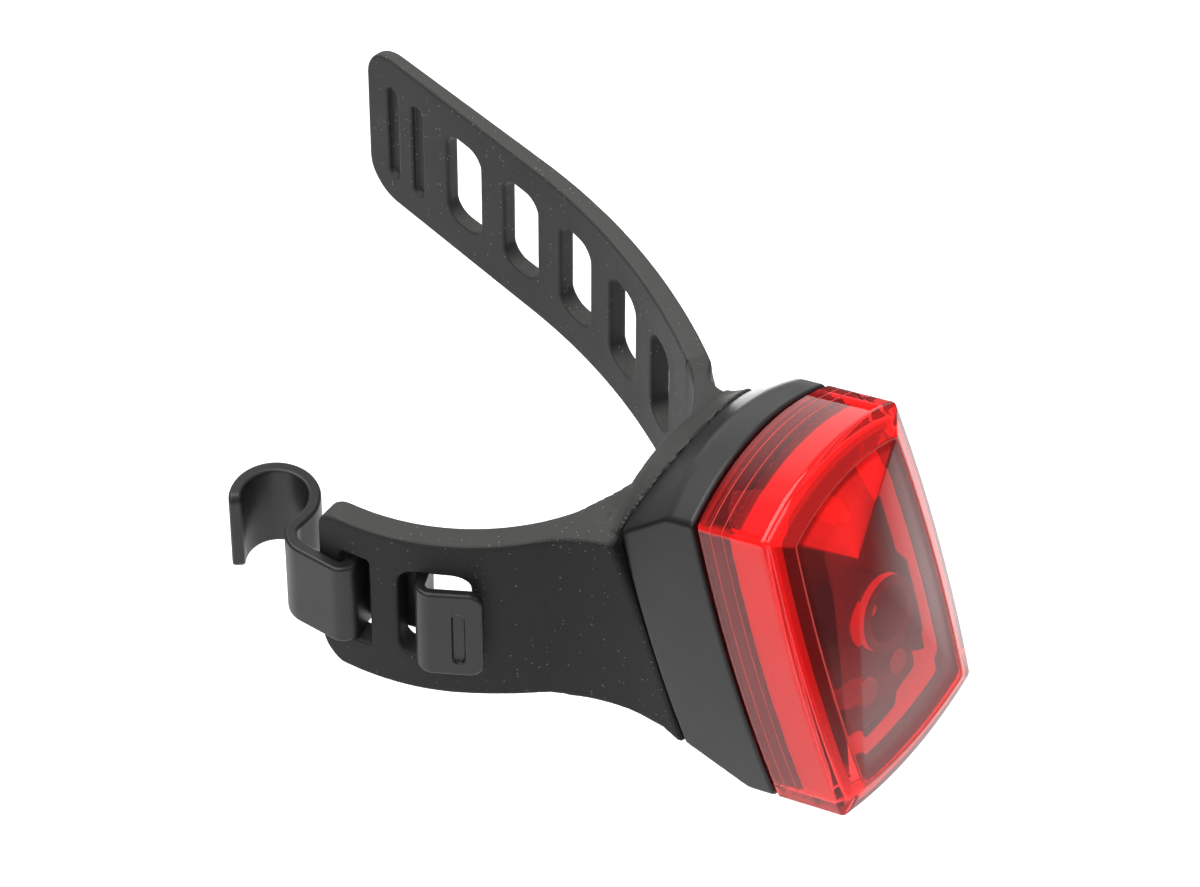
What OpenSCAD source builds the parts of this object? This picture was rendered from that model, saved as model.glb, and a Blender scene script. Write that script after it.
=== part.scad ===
// Bicycle rear light on a rubber strap with a hook clip, relaxed and unfastened.
// Origin on the seat post's axis at the middle of the strap's width, +Z up the post,
// the light faces -Y. The head leans back, so its own axes are x across, y up, z out
// of the lens, with z = 0 in the plane of the lens's front corners.

/* [Post and strap] */
// Diameter of the seat post that the saddle fits
post_d = 31.6; // [27.2:0.2:34]
// Width of the rubber strap at the saddle
strap_w = 25; // [22:0.5:28]
// Width of the strap at the long arm's tip
tip_w = 23.8; // [21:0.2:26]
// Thickness of the strap at the saddle and the short arm
strap_t = 3.1; // [2.8:0.1:3.4]
// Thickness of the long arm at its root
root_t = 2.7; // [2.4:0.1:3]
// Thickness of the long arm at its tip
tip_t = 1.6; // [1.4:0.1:2]
// Radius of the corners at the strap's ends
end_corner = 5; // [3:0.5:7]
// Gap round the flexing knuckles of the strap
knuckle_gap = 0.15; // [0.1:0.05:0.2]

/* [Long arm] */
// Turn of the saddle's face on the long arm's side, in degrees
saddle_deg = 51.8; // [51.6:0.2:54]
// Relaxed radius of the long arm behind the saddle
long_r = 80.6; // [70:1:100]
// Turn of the long arm's curved stretch, in degrees
long_deg = 26.1; // [24:0.1:28]
// Length of the long arm from the saddle's middle to its tip
long_len = 80.8; // [79:0.2:86]
// Distance of the first strap slot from the saddle's middle
slot_start = 22.9; // [22.8:0.1:23.4]
// Distance from one strap slot to the next
slot_pitch = 10.1; // [9.9:0.05:10.6]
// Length of a strap slot along the arm
slot_l = 5.9; // [5.2:0.1:6]
// Height of a strap slot
slot_h = 13.8; // [11:0.2:14.4]
// Corner radius of the strap's slots
slot_r = 2.2; // [1.4:0.1:2.4]
// Distance of the long arm's first knuckle from the saddle's middle
long_knuckle = 17.6; // [17.2:0.1:18.2]
// Height of the grip grooves in the tip's inner face
groove_h = 14; // [10:0.5:16]
// Width of a grip groove
groove_w = 1.1; // [0.8:0.1:1.6]
// Depth of a grip groove
groove_depth = 0.6; // [0.3:0.1:1]
// Distance between the two grip grooves
groove_pitch = 4.4; // [4:0.1:5]
// Distance of the outer grip groove from the tip
groove_inset = 4.7; // [4:0.1:5.4]
// Droop of the long arm's tip below the strap's middle
tip_drop = 0.4; // [0:0.1:0.8]

/* [Short arm and hook clip] */
// Relaxed radius of the short arm's inner face
short_r = 26.5; // [25:0.5:29]
// Length of the short arm from the saddle's middle to its end
short_len = 42; // [41.6:0.1:43]
// Distance of the short arm's knuckle from the saddle's middle
short_knuckle = 20.6; // [20.4:0.1:20.8]
// Distance of the wide slot's near end from the short arm's end
slot_setback = 16.5; // [16.2:0.1:16.8]
// Length of the clip's wide slot
wide_slot_l = 7.5; // [7.3:0.1:7.7]
// Length of the strap bar that the clip is woven round
weave_bar = 3.1; // [2.9:0.1:3.3]
// Length of the clip's narrow slot
narrow_slot_l = 3.2; // [3.1:0.1:3.4]
// Height of the clip's base
clip_h = 12.4; // [11:0.1:13]
// Height of the open hook's top edge above the strap's middle
hook_top = 5.6; // [4.6:0.1:6]
// Thickness of the clip
clip_t = 1.5; // [1.3:0.1:1.6]
// Clearance above and below the clip in its slots
clip_gap = 1.3; // [0.8:0.05:1.4]
// Gap between the clip and the strap's faces
weave_gap = 0.3; // [0.3:0.05:0.4]
// Stand-off of the clip's tab from the strap's outer face
tab_gap = 0.85; // [0.8:0.05:1.1]
// Length of the clip's tab
tab_l = 6.6; // [6:0.1:7]
// Distance of the tab's bend from the far end of the wide slot
tab_back = 2; // [1.8:0.1:2.4]
// Radius of the hook's middle line
hook_r = 4.5; // [4.2:0.1:4.8]
// Turn of the hook round its curl, in degrees
hook_turn = 222; // [200:1:230]
// Bend radius of the clip where it is woven
clip_bend = 1.3; // [1:0.1:1.5]

/* [Head] */
// Lean of the head against the post, in degrees
head_lean = 17.4; // [10:0.2:22]
// Distance of the lens's front corners in front of the saddle's face
head_reach = 27.6; // [26.6:0.2:30]
// Height of the lens's middle above the strap's middle
head_rise = 4; // [3:0.1:5]
// Width of the lens between its corners
lens_w = 26; // [26:0.2:30]
// Height of the lens between its corners
lens_h = 40; // [40:0.5:46]
// Outward bow of the lens's left and right sides
side_bow = 1; // [0.8:0.1:2]
// Outward bow of the lens's top side
top_bow = 3; // [2.6:0.1:4]
// Outward bow of the lens's bottom side
bottom_bow = 1.7; // [1.5:0.1:2.6]
// Depth of the lens's side walls
lens_d = 9.3; // [8.8:0.1:10]
// Rise of the window's border above the lens's corners
border_rise = 1.4; // [1:0.1:2]
// Width of the bevelled rim round the window
rim_w = 3.2; // [2.8:0.1:4]
// Rise of the window's off-centre peak above the lens's corners
peak_rise = 3; // [2.4:0.1:3.6]
// Wall of the lens
lens_wall = 1.6; // [1.4:0.1:1.8]
// Wall of the housing
case_wall = 1.8; // [1.6:0.1:2.2]
// Depth of the head from the lens's corners to the housing's back
head_d = 21; // [21:0.2:24]
// Depth of the housing's straight band, measured from the lens's corners
band_d = 13.4; // [12.6:0.2:15]
// Fall of the housing's top at its back
top_fall = 3.8; // [3:0.2:4.4]
// Rise of the housing's bottom at its back
bottom_rise = 5; // [4:0.2:5.4]

/* [Inside] */
// Travel of the lens when it is pressed as the switch
press = 0.5; // [0.3:0.1:0.6]
// Gap between the lens's skirt and the housing's rim, past the travel
rim_gap = 0.1; // [0.1:0.05:0.2]
// Sliding clearance between the lens and the lip it rides on
slide_gap = 0.15; // [0.1:0.05:0.2]
// Wall of the lip that the lens rides on
lip_wall = 1.8; // [1.7:0.1:2]
// Height of the lip above the housing's rim
lip_h = 3.6; // [3.2:0.1:4]
// Thickness of the circuit board
board_t = 1; // [0.8:0.1:1.2]
// Depth of the board's front face behind the lens's corners
board_d = 6; // [5.8:0.1:6.6]
// Clearance round pieces that drop into a place
drop_gap = 0.1; // [0.05:0.05:0.15]
// Diameter of a coin cell
cell_d = 20; // [20:0.1:20.4]
// Thickness of a coin cell
cell_t = 3.2; // [2.5:0.1:3.2]
// Thickness of the contact strips
contact_t = 0.3; // [0.2:0.1:0.4]
// Width of the contact strips
contact_w = 4; // [3:0.5:5]
// Wall of the battery tray
tray_wall = 0.8; // [0.7:0.1:0.9]
// Wall of the light frame on the board
frame_wall = 1.5; // [1.2:0.1:1.8]
// Gap between the light frame and the lens's inside
frame_gap = 1; // [0.9:0.1:1.4]
// Outer radius of the lamp's cup
cup_r = 4.4; // [4:0.1:4.6]
// Inner radius of the lamp's cup
cup_bore = 3.3; // [3:0.1:3.5]
// Height of the lamp's cup
cup_h = 3.9; // [3:0.1:4.2]
// Width of the press switch
switch_w = 4.4; // [4:0.1:4.8]
// Height of the press switch's body
switch_h = 1.6; // [1.4:0.1:1.8]
// Radius of the switch's plunger
plunger_r = 0.9; // [0.7:0.1:1.1]
// Height of the plunger above the switch's body
plunger_h = 0.9; // [0.8:0.1:1.2]
// Thickness of the plate inside the saddle
plate_t = 2; // [1.6:0.1:2.2]
// Rubber between that plate and the housing
plate_skin = 1.6; // [1.4:0.1:1.8]
// Places of the strap's screws across the head's middle
strap_screw_x = 5.5; // [5:0.1:6]
// Radius of the screws' shanks
screw_r = 0.9; // [0.8:0.05:1]
// Radius of the screws' heads
screw_head_r = 1.7; // [1.5:0.1:1.8]
// Height of the screws' heads
screw_head_h = 1; // [0.9:0.1:1.2]

/* [Saddle] */
// Turn of the saddle's face on the short arm's side, in degrees
cheek_deg = 59; // [58:0.5:60]
// Height of the cheek that the post beds against on that side
cheek_h = 16; // [12:0.5:18]

/* [Hidden] */
$fn = 96;

// Place of the peak across and up the lens
peak = [-2.8, 10.8];
// Height and depth of the seal in the lip
seal_size = [1.1, 0.8];
// Place of the main lamp on the board
// Place on the board as shares of the lens's width and height
function on_board(u, v) = [u * lens_w, v * lens_h];
lamp_at = on_board(0.131, -0.085);
// Place of the press switch on the board
switch_at = on_board(-0.162, -0.235);
// Width and height of the plate inside the saddle
plate_size = [17, 12];

post_r = post_d / 2;
knuckle_ease = 0.05;
big = 200;
rubber = "#1c1c1d";
plastic = "#151516";

// Long arm: arc lengths at which its curve changes, and its places along the arm
deg = 180 / PI;
saddle_s = post_r * saddle_deg / deg;
curve_s = saddle_s + long_r * long_deg / deg;
function turned(a) = [sin(a), -cos(a)];
function long_angle(s) =
    s < saddle_s ? s / post_r * deg
    : s < curve_s ? saddle_deg + (s - saddle_s) / long_r * deg
    : saddle_deg + long_deg;
saddle_end = post_r * turned(saddle_deg);
curve_end = saddle_end + long_r * (turned(saddle_deg + long_deg) - turned(saddle_deg));
function long_inner(s) =
    let (a = long_angle(s))
    s < saddle_s ? post_r * turned(a)
    : s < curve_s ? saddle_end + long_r * (turned(a) - turned(saddle_deg))
    : curve_end + (s - curve_s) * [cos(a), sin(a)];
function long_at(s, out) = long_inner(s) + out * turned(long_angle(s));
slot_count = 5;
function slot_s(i) = slot_start + slot_pitch * i;
function knuckle_s(i) = i == 0 ? long_knuckle : slot_s(i - 1) + slot_pitch / 2;
function long_t(s) = root_t + (tip_t - root_t) * (s - long_knuckle) / (long_len - long_knuckle);
function long_mid(s) = long_at(s, long_t(s) / 2);

// Short arm: one arc about its own centre behind the post's axis
short_centre = [0, short_r - post_r];
function short_angle(s) = s / short_r * deg;
function short_at(s, out) =
    short_centre + (short_r + out) * [-sin(short_angle(s)), -cos(short_angle(s))];
wide_slot_at = short_len - slot_setback;
narrow_slot_at = wide_slot_at + wide_slot_l + weave_bar;

// Points along one side of an arm, and a band between its two faces
band_steps = 14;
function span(a, b, n) = [for (i = [0:n]) a + (b - a) * i / n];
function long_band(s0, s1) = concat(
    [for (s = span(s0, s1, band_steps)) long_at(s, 0)],
    [for (s = span(s1, s0, band_steps)) long_at(s, long_t(s))]);
function short_band(s0, s1, o0, o1) = concat(
    [for (s = span(s0, s1, band_steps)) short_at(s, o0)],
    [for (s = span(s1, s0, band_steps)) short_at(s, o1)]);

// A curve from a to c that leaves and arrives towards b
function bent(a, b, c, n = 8) =
    [for (t = span(0, 1, n)) (1 - t) * (1 - t) * a + 2 * t * (1 - t) * b + t * t * c];

// Head: levels along its own z
skirt_z = -lens_d;
rim_z = skirt_z - press - rim_gap;
back_z = -head_d;
floor_z = back_z + case_wall;
board_z = -board_d;
board_back = board_z - board_t;
tray_floor = floor_z + tray_wall;
cell_z = tray_floor + contact_t;
cells_top = cell_z + 2 * cell_t;
lip_inset = lens_wall + slide_gap;
board_inset = lip_inset + lip_wall + drop_gap;
screw_clear = 0.3;
boss_r = 2.2;
board_screw_l = 5;
riser_y = cell_d / 2 + drop_gap + contact_t;
board_screw_at = riser_y + boss_r + screw_clear;
plunger_top = board_z + switch_h + plunger_h;
touch_gap = 0.1;
head_pos = [0, -post_r - head_reach, head_rise];

// Places and directions in the head's own axes
module in_head() { translate(head_pos) rotate([90 - head_lean, 0, 0]) children(); }

// Radii of the head's bowed sides, and how far their centres lie across the head's middle
function bow_r(w, bow) = (w * w / 4 + bow * bow) / (2 * bow);
top_r = bow_r(lens_w, top_bow);
bottom_r = bow_r(lens_w, bottom_bow);
side_r = bow_r(lens_h, side_bow);
top_c = top_r - lens_h / 2 - top_bow;
bottom_c = bottom_r - lens_h / 2 - bottom_bow;
side_c = side_r - lens_w / 2 - side_bow;

// Outline of the head with bowed sides, drawn in by inset, its top and bottom also by fall and rise
module outline(inset = 0, fall = 0, rise = 0) {
    intersection() {
        translate([0, -top_c - fall]) circle(top_r - inset, $fn = 160);
        translate([0, bottom_c + rise]) circle(bottom_r - inset, $fn = 160);
        translate([side_c, 0]) circle(side_r - inset, $fn = 360);
        translate([-side_c, 0]) circle(side_r - inset, $fn = 360);
    }
}

// A slab of the outline between two levels
module slab(z0, z1, inset = 0) { translate([0, 0, z0]) linear_extrude(z1 - z0) outline(inset); }

// A ring of the outline between two insets
module ring(z0, z1, inset0, inset1) {
    translate([0, 0, z0]) linear_extrude(z1 - z0) difference() {
        outline(inset0);
        outline(inset1);
    }
}

// A disc or bar upright in the head at a place on the board
module post_at(p, r, z0, z1) { translate([p[0], p[1], z0]) cylinder(r = r, h = z1 - z0); }
module block_at(p, size, z0, z1) {
    translate([p[0], p[1], (z0 + z1) / 2]) cube([size[0], size[1], z1 - z0], center = true);
}

// Rectangle with round corners, about its middle
module round_rect(l, h, r) {
    square([l - 2 * r, h], center = true);
    square([l, h - 2 * r], center = true);
    for (x = [-1, 1], y = [-1, 1]) translate([x * (l / 2 - r), y * (h / 2 - r)]) circle(r);
}

// Something drawn on an arm's face, in along-the-arm and upward directions, and sunk right through
module through_arm(at, angle, depth = 4 * strap_t) {
    translate([at[0], at[1], 0]) rotate([0, 0, angle]) rotate([90, 0, 0])
        linear_extrude(depth, center = true) children();
}

// Flank of the strap seen from the side, narrowing towards the long arm's tip
tip_y = long_inner(long_len)[1];
module strap_flank() {
    top = tip_w / 2 - tip_drop;
    bottom = -tip_w / 2 - tip_drop;
    points = [[-post_r, strap_w / 2], [tip_y, top], [tip_y + end_corner, top],
              [tip_y + end_corner, bottom], [tip_y, bottom], [-post_r, -strap_w / 2]];
    rotate([90, 0, 90]) linear_extrude(2 * big, center = true) polygon(points);
}

// Snaps on the lip, and the pockets in the lens that they ride in
snap_size = [3, 1];
snap_proud = 0.5;
snap_y = 8;
snap_z = rim_z + lip_h - 0.5;
module snap_zone(grow) {
    for (y = [-snap_y, snap_y], x = [-1, 1])
        block_at([x * lens_w / 2, y], [lens_w / 2, snap_size[0] + 2 * grow],
                 snap_z - snap_size[1] - grow, snap_z + press + grow);
}
module snaps() {
    intersection() {
        ring(snap_z - snap_size[1], snap_z, lip_inset - snap_proud, lip_inset + lip_wall / 2);
        snap_zone(0);
    }
}

// Form of the lens's front from its corners to the peak
front_skin = 0.01;
module lens_front(inset, drop) {
    hull() {
        slab(-drop - front_skin, -drop, inset, $fn = 32);
        slab(border_rise - drop - front_skin, border_rise - drop, rim_w + inset);
        translate([peak[0], peak[1], peak_rise - drop - front_skin])
            cylinder(r = 0.2, h = front_skin, $fn = 12);
    }
}

module lens() {
    color("#c8101a") in_head() {
        difference() {
            union() {
                slab(skirt_z, -front_skin);
                lens_front(0, 0);
            }
            slab(skirt_z - 1, -lens_wall, lens_wall);
            lens_front(lens_wall, lens_wall);
            intersection() {
                slab(skirt_z - 1, snap_z + press + slide_gap, lens_wall - snap_proud - slide_gap);
                snap_zone(slide_gap);
            }
        }
        lens_press_pin();
    }
}

// Pin inside the lens that reaches down to the switch
module lens_press_pin() { post_at(switch_at, plunger_r + 0.2, plunger_top + touch_gap, border_rise); }

// Bowed roof of the housing that falls in towards the back, on the top or bottom side
module roof(side, r, fall, inset) {
    tilt = atan(fall / (head_d - band_d));
    reach = sqrt(r * r - lens_w * lens_w / 4) / cos(tilt);
    translate([0, side * (lens_h / 2 - reach), -band_d]) rotate([-side * tilt, 0, 0])
        cylinder(r = r - inset, h = 2 * big, center = true, $fn = 160);
}

// Body of the housing between two levels, drawn in by inset
module case_body(z0, z1, inset) {
    intersection() {
        slab(z0, z1, inset);
        roof(1, top_r, top_fall, inset);
        roof(-1, bottom_r, bottom_rise, inset);
    }
}

module housing() {
    color(plastic) in_head() {
        difference() {
            union() {
                case_body(back_z, rim_z, 0);
                ring(rim_z - case_wall, rim_z + lip_h, lip_inset, lip_inset + lip_wall);
            }
            case_body(floor_z, rim_z - case_wall, case_wall);
            slab(rim_z - 2 * case_wall, rim_z + lip_h + 1, lip_inset + lip_wall);
            ring(seal_z, seal_z + seal_size[0], lip_inset - 1, lip_inset + seal_size[1]);
            for (x = [-1, 1]) strap_screw(x, drop_gap);
        }
        difference() {
            for (y = [-1, 1]) post_at([0, y * board_screw_at], boss_r, floor_z - 0.5, board_back);
            for (y = [-1, 1])
                post_at([0, y * board_screw_at], screw_r + drop_gap / 2, floor_z, board_back + 1);
        }
        snaps();
    }
}

seal_z = rim_z + 0.6;
module case_seal() {
    color("#3a3a3c") in_head()
        ring(seal_z + drop_gap / 2, seal_z + seal_size[0] - drop_gap / 2,
             lip_inset - slide_gap / 2, lip_inset + seal_size[1]);
}

// Rubber body behind the head: block, fillets to the arms, roots of the arms and the cheek
side_x = lens_w / 2 + side_bow * 0.6;
block_front = -post_r - head_reach;
short_run = 12;
long_run = 1.5;
function arm_meets_side(p, a) = [p[0] - (p[0] - sign(p[0]) * side_x), p[1] - (abs(p[0]) - side_x) * tan(a)];
short_fillet_s = 18.8;
long_fillet_s = 9.5;
short_fillet = short_at(short_fillet_s, strap_t);
long_fillet = long_at(long_fillet_s, root_t);
short_corner = arm_meets_side(short_fillet, short_angle(short_fillet_s));
long_corner = arm_meets_side(long_fillet, long_angle(long_fillet_s));
root_over = 0.5;
module saddle_plan() {
    polygon(concat(
        [[-side_x, block_front]],
        bent(short_corner - [0, short_run], short_corner, short_fillet),
        [for (s = span(short_fillet_s, 0, band_steps)) short_at(s, 0.5)],
        [for (s = span(0, long_fillet_s, band_steps)) long_at(s, 0.5)],
        bent(long_fillet, long_corner, long_corner - [0, long_run]),
        [[side_x, block_front]]));
    polygon(short_band(0, short_knuckle, -root_over, strap_t));
    polygon(concat(
        [for (s = span(0, saddle_s - 3 * root_over, band_steps)) long_at(s, -root_over)],
        [for (s = span(saddle_s + 2 * root_over, long_knuckle, 3)) long_at(s, 0)],
        [for (s = span(long_knuckle, 0, band_steps)) long_at(s, root_t)]));
}

// Side view of the rubber body and short arm: the bottom sinks from the arm to the housing's back
short_end_y = short_at(short_len, 0)[1];
flare = [[-4, 0.1], [-10, 0.1], [-14.5, 2], [-25, 2.9], [-29.5, 5.2]];
function flare_at(i) = [flare[i][0], -strap_w / 2 - flare[i][1]];
module saddle_flank(top_z) {
    points = concat(
        [[big, strap_w / 2], [-post_r, strap_w / 2], [-post_r - 1.8, top_z],
         [block_front, top_z], [block_front, flare_at(4)[1]], flare_at(4), flare_at(3)],
        bent(flare_at(2), flare_at(1), flare_at(0)),
        [[short_end_y, -tip_w / 2], [big, -tip_w / 2]]);
    rotate([90, 0, 90]) linear_extrude(2 * big, center = true) polygon(points);
}

// Rubber block straight behind the housing, with the outline of the housing's back
module saddle_block() {
    intersection() {
        translate([-side_x, block_front, -lens_h]) cube([2 * side_x, -block_front - post_r / 2, 2 * lens_h]);
        saddle_flank(lens_h / 2);
        in_head() translate([0, 0, -big]) linear_extrude(big) outline(0, top_fall, bottom_rise);
    }
}

// Space inside the short arm's wider curve, on its side of the post
module short_bay() {
    intersection() {
        translate([short_centre[0], short_centre[1], -lens_h]) cylinder(r = short_r, h = 2 * lens_h);
        translate([-big, -big / 2, -lens_h]) cube([big, big, 2 * lens_h]);
    }
}

// Cheek that fills the short arm's wider curve up to the post
module cheek() {
    reach = 2 * post_r;
    translate([0, 0, -cheek_h / 2]) linear_extrude(cheek_h) intersection() {
        translate(short_centre) circle(short_r + 0.5);
        polygon([[0, 0], reach * [-sin(cheek_deg), -cos(cheek_deg)], [0, -reach / cos(cheek_deg)]]);
    }
}

// Hollow along the housing's back edge on the long arm's side
scallop_r = 3.5;
scallop = [1.2, 3];

plate_z = back_z - plate_skin - plate_t;
plate_mid = -3;
strap_screw_y = -3;
module strap_saddle() {
    color(rubber) difference() {
        union() {
            difference() {
                union() {
                    intersection() {
                        linear_extrude(2 * lens_h, center = true) saddle_plan();
                        saddle_flank(strap_w / 2);
                    }
                    saddle_block();
                }
                short_bay();
            }
            cheek();
        }
        in_head() {
            translate([0, 0, back_z]) linear_extrude(big) square(big, center = true);
            translate([side_x + scallop[0], 0, back_z - scallop[1]]) rotate([90, 0, 0])
                cylinder(r = scallop_r, h = 2 * lens_h, center = true);
            block_at([0, plate_mid], plate_size + [drop_gap, drop_gap], plate_z - drop_gap / 2,
                     back_z - plate_skin);
            for (x = [-1, 1]) strap_screw(x, drop_gap);
        }
        cylinder(r = post_r, h = 2 * lens_h, center = true);
        knuckle(short_at(short_knuckle, strap_t / 2), strap_t / 2 + knuckle_gap, 2 * lens_h);
        knuckle(long_mid(long_knuckle), root_t / 2 + knuckle_gap, 2 * lens_h);
    }
}

// Screw through the housing's back into the plate, its head sunk in the wall
module strap_screw(side, grow = 0) {
    p = [side * strap_screw_x, strap_screw_y];
    post_at(p, screw_head_r + grow, floor_z - screw_head_h - grow / 2, floor_z + (grow > 0 ? 1 : 0));
    post_at(p, screw_r + grow / 2, plate_z + 0.4, floor_z - screw_head_h);
}

module strap_plate() {
    color("#8a8c8f") in_head() difference() {
        block_at([0, plate_mid], plate_size, plate_z, back_z - plate_skin);
        for (x = [-1, 1]) strap_screw(x, drop_gap);
    }
}

module strap_screws() { color("silver") in_head() for (x = [-1, 1]) strap_screw(x); }

// Round bar on a flexing place of the strap, or the wider and longer socket round it
module knuckle(at, r, h = strap_w) { translate([at[0], at[1], -h / 2]) cylinder(r = r, h = h); }

// One stretch of the long arm, from its round knuckle to the socket of the next
module long_stretch(i) {
    s0 = knuckle_s(i);
    last = i == slot_count - 1;
    s1 = last ? long_len : knuckle_s(i + 1);
    slot_mid = slot_s(i);
    color(rubber) difference() {
        intersection() {
            union() {
                linear_extrude(strap_w, center = true) polygon(long_band(s0, s1));
                knuckle(long_mid(s0), long_t(s0) / 2 - knuckle_ease);
            }
            strap_flank();
            if (last) through_arm(long_inner(long_len), long_angle(long_len))
                translate([-big / 2, -tip_drop]) round_rect(big, tip_w, end_corner);
        }
        through_arm(long_mid(slot_mid), long_angle(slot_mid)) round_rect(slot_l, slot_h, slot_r);
        if (!last) knuckle(long_mid(s1), long_t(s1) / 2 + knuckle_gap, lens_h);
        if (last) for (k = [0, 1]) grip_groove(long_len - groove_inset - k * groove_pitch);
    }
}

// Groove in the inner face of the tip, for the fingers to hold
module grip_groove(s) {
    p = long_at(s, groove_depth / 2 - 0.05);
    translate([p[0], p[1], -tip_drop]) rotate([0, 0, long_angle(s)])
        cube([groove_w, groove_depth + 0.1, groove_h], center = true);
}

module strap_long_arm_1() { long_stretch(0); }
module strap_long_arm_2() { long_stretch(1); }
module strap_long_arm_3() { long_stretch(2); }
module strap_long_arm_4() { long_stretch(3); }
module strap_long_arm_5() { long_stretch(4); }

// Rounded end of the short arm, tighter at its top corner and free in height further back
short_corner_r = 2.6;
module short_end() {
    translate([-big / 2, 0]) round_rect(big, strap_w, end_corner);
    translate([-big / 2, strap_w / 4]) round_rect(big, strap_w / 2, short_corner_r);
    translate([-big / 2 - strap_w / 2, 0]) square([big, 2 * strap_w], center = true);
}

module strap_short_arm() {
    slot_top = clip_h + 2 * clip_gap;
    wide_mid = wide_slot_at + wide_slot_l / 2;
    narrow_mid = narrow_slot_at + narrow_slot_l / 2;
    color(rubber) difference() {
        intersection() {
            union() {
                linear_extrude(2 * strap_w, center = true)
                    polygon(short_band(short_knuckle, short_len, 0, strap_t));
                knuckle(short_at(short_knuckle, strap_t / 2), strap_t / 2 - knuckle_ease, 2 * strap_w);
            }
            through_arm(short_at(short_len, 0), 180 - short_angle(short_len), big)
                short_end();
            saddle_flank(strap_w / 2);
        }
        through_arm(short_at(wide_mid, strap_t / 2), -short_angle(wide_mid))
            round_rect(wide_slot_l, slot_top, slot_r);
        through_arm(short_at(narrow_mid, strap_t / 2), -short_angle(narrow_mid))
            round_rect(narrow_slot_l, slot_top, 0.6);
    }
}

// Middle line of the clip: tab, weave round the bar, outer run, then the open hook
tab_out = strap_t + tab_gap + clip_t / 2;
run_out = strap_t + weave_gap + clip_t / 2;
weave_in = -weave_gap - clip_t / 2;
wide_s = wide_slot_at + wide_slot_l - tab_back - clip_t / 2;
narrow_s = narrow_slot_at + narrow_slot_l - weave_gap - clip_t / 2;
hook_in = 4.75;
hook_up = 8.9;
run_lean = 0.1;
hook_mid = short_at(short_len, run_out) + [hook_in, hook_up];
neck = hook_mid - [0, hook_r];
clip_corners = [
    short_at(wide_s - tab_l + clip_t / 2, tab_out), short_at(wide_s, tab_out),
    short_at(wide_s, weave_in), short_at(narrow_s, weave_in), short_at(narrow_s, run_out),
    [short_at(short_len, run_out)[0] + run_lean, neck[1]], neck];
function unit(v) = v / norm(v);
function corner_arc(a, b, c, r, n = 6) =
    let (u = unit(a - b), v = unit(c - b), half = acos(u * v) / 2, reach = r / tan(half),
         m = b + unit(u + v) * r / sin(half), p = b + u * reach, q = b + v * reach)
    [for (t = span(0, 1, n)) m + r * unit((1 - t) * (p - m) + t * (q - m))];
clip_line = concat(
    [clip_corners[0]],
    [for (i = [1:5]) each corner_arc(clip_corners[i - 1], clip_corners[i], clip_corners[i + 1],
                                    i == 5 ? 2 * clip_bend : clip_bend)],
    [for (a = span(-90, -90 + hook_turn, 24)) hook_mid + hook_r * [cos(a), sin(a)]]);
function along(line, i) =
    unit(line[min(i + 1, len(line) - 1)] - line[max(i - 1, 0)]);
function ribbon(line, half) = concat(
    [for (i = [0:len(line) - 1]) line[i] + half * [-along(line, i)[1], along(line, i)[0]]],
    [for (i = [len(line) - 1:-1:0]) line[i] - half * [-along(line, i)[1], along(line, i)[0]]]);

module hook_clip() {
    taper_y = short_at(short_len, 0)[1];
    points = [[-big, clip_h / 2], [taper_y - 3, clip_h / 2], [taper_y + 2, hook_top], [big, hook_top],
              [big, -clip_h / 2], [-big, -clip_h / 2]];
    color(plastic) intersection() {
        linear_extrude(clip_h, center = true) polygon(ribbon(clip_line, clip_t / 2));
        rotate([90, 0, 90]) linear_extrude(2 * big, center = true) polygon(points);
    }
}

// Board and what stands on it
module circuit_board() {
    color("#3b1714") in_head() difference() {
        slab(board_back, board_z, board_inset);
        for (y = [-1, 1]) post_at([0, y * board_screw_at], screw_r + drop_gap, board_back - 1, board_z + 1);
    }
}

module board_screws() {
    color("silver") in_head() for (y = [-1, 1]) {
        post_at([0, y * board_screw_at], screw_head_r, board_z, board_z + screw_head_h);
        post_at([0, y * board_screw_at], screw_r, board_back - board_screw_l, board_z);
    }
}

module light_frame() {
    color("#e8c8c4") in_head()
        ring(board_z, border_rise - lens_wall - frame_gap - press, board_inset, board_inset + frame_wall);
}

module lamp_cup() {
    color("#d9a8a2") in_head() difference() {
        post_at(lamp_at, cup_r, board_z, board_z + cup_h);
        post_at(lamp_at, cup_bore, board_z - 1, board_z + cup_h + 1);
    }
}

led_base = [3, 3, 0.8];
led_dome_r = 1.3;
module main_led() {
    color("#f2e9c8") in_head() {
        block_at(lamp_at, led_base, board_z, board_z + led_base[2]);
        translate([lamp_at[0], lamp_at[1], board_z + led_base[2]]) intersection() {
            sphere(led_dome_r);
            translate([0, 0, led_dome_r]) cube(2 * led_dome_r, center = true);
        }
    }
}

side_led_at = [on_board(-0.177, 0.18), on_board(0.208, 0.18)];
side_led = [2.2, 1.6, 0.7];
side_dome_r = 0.6;
side_dome_h = 0.4;
module side_leds() {
    color("#f2e9c8") in_head() for (p = side_led_at) {
        block_at(p, side_led, board_z, board_z + side_led[2]);
        post_at(p, side_dome_r, board_z + side_led[2], board_z + side_led[2] + side_dome_h);
    }
}

chip_size = [4, 5, 1.3];
module control_chip() {
    color("#202022") in_head() block_at(on_board(-0.192, 0.01), chip_size, board_z, board_z + chip_size[2]);
}

resistor_at = [on_board(-0.254, -0.1), on_board(-0.254, -0.145), on_board(0.015, 0.11),
               on_board(0.015, 0.215), on_board(0.223, -0.215)];
resistor_size = [1.6, 0.8, 0.5];
module board_resistors() {
    color("#2b2b2e") in_head() for (p = resistor_at)
        block_at(p, resistor_size, board_z, board_z + resistor_size[2]);
}

capacitor_r = 1.5;
capacitor_h = 2.4;
module board_capacitor() {
    color("#b9b9bd") in_head() post_at(on_board(0.17, -0.29), capacitor_r, board_z, board_z + capacitor_h);
}

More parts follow.
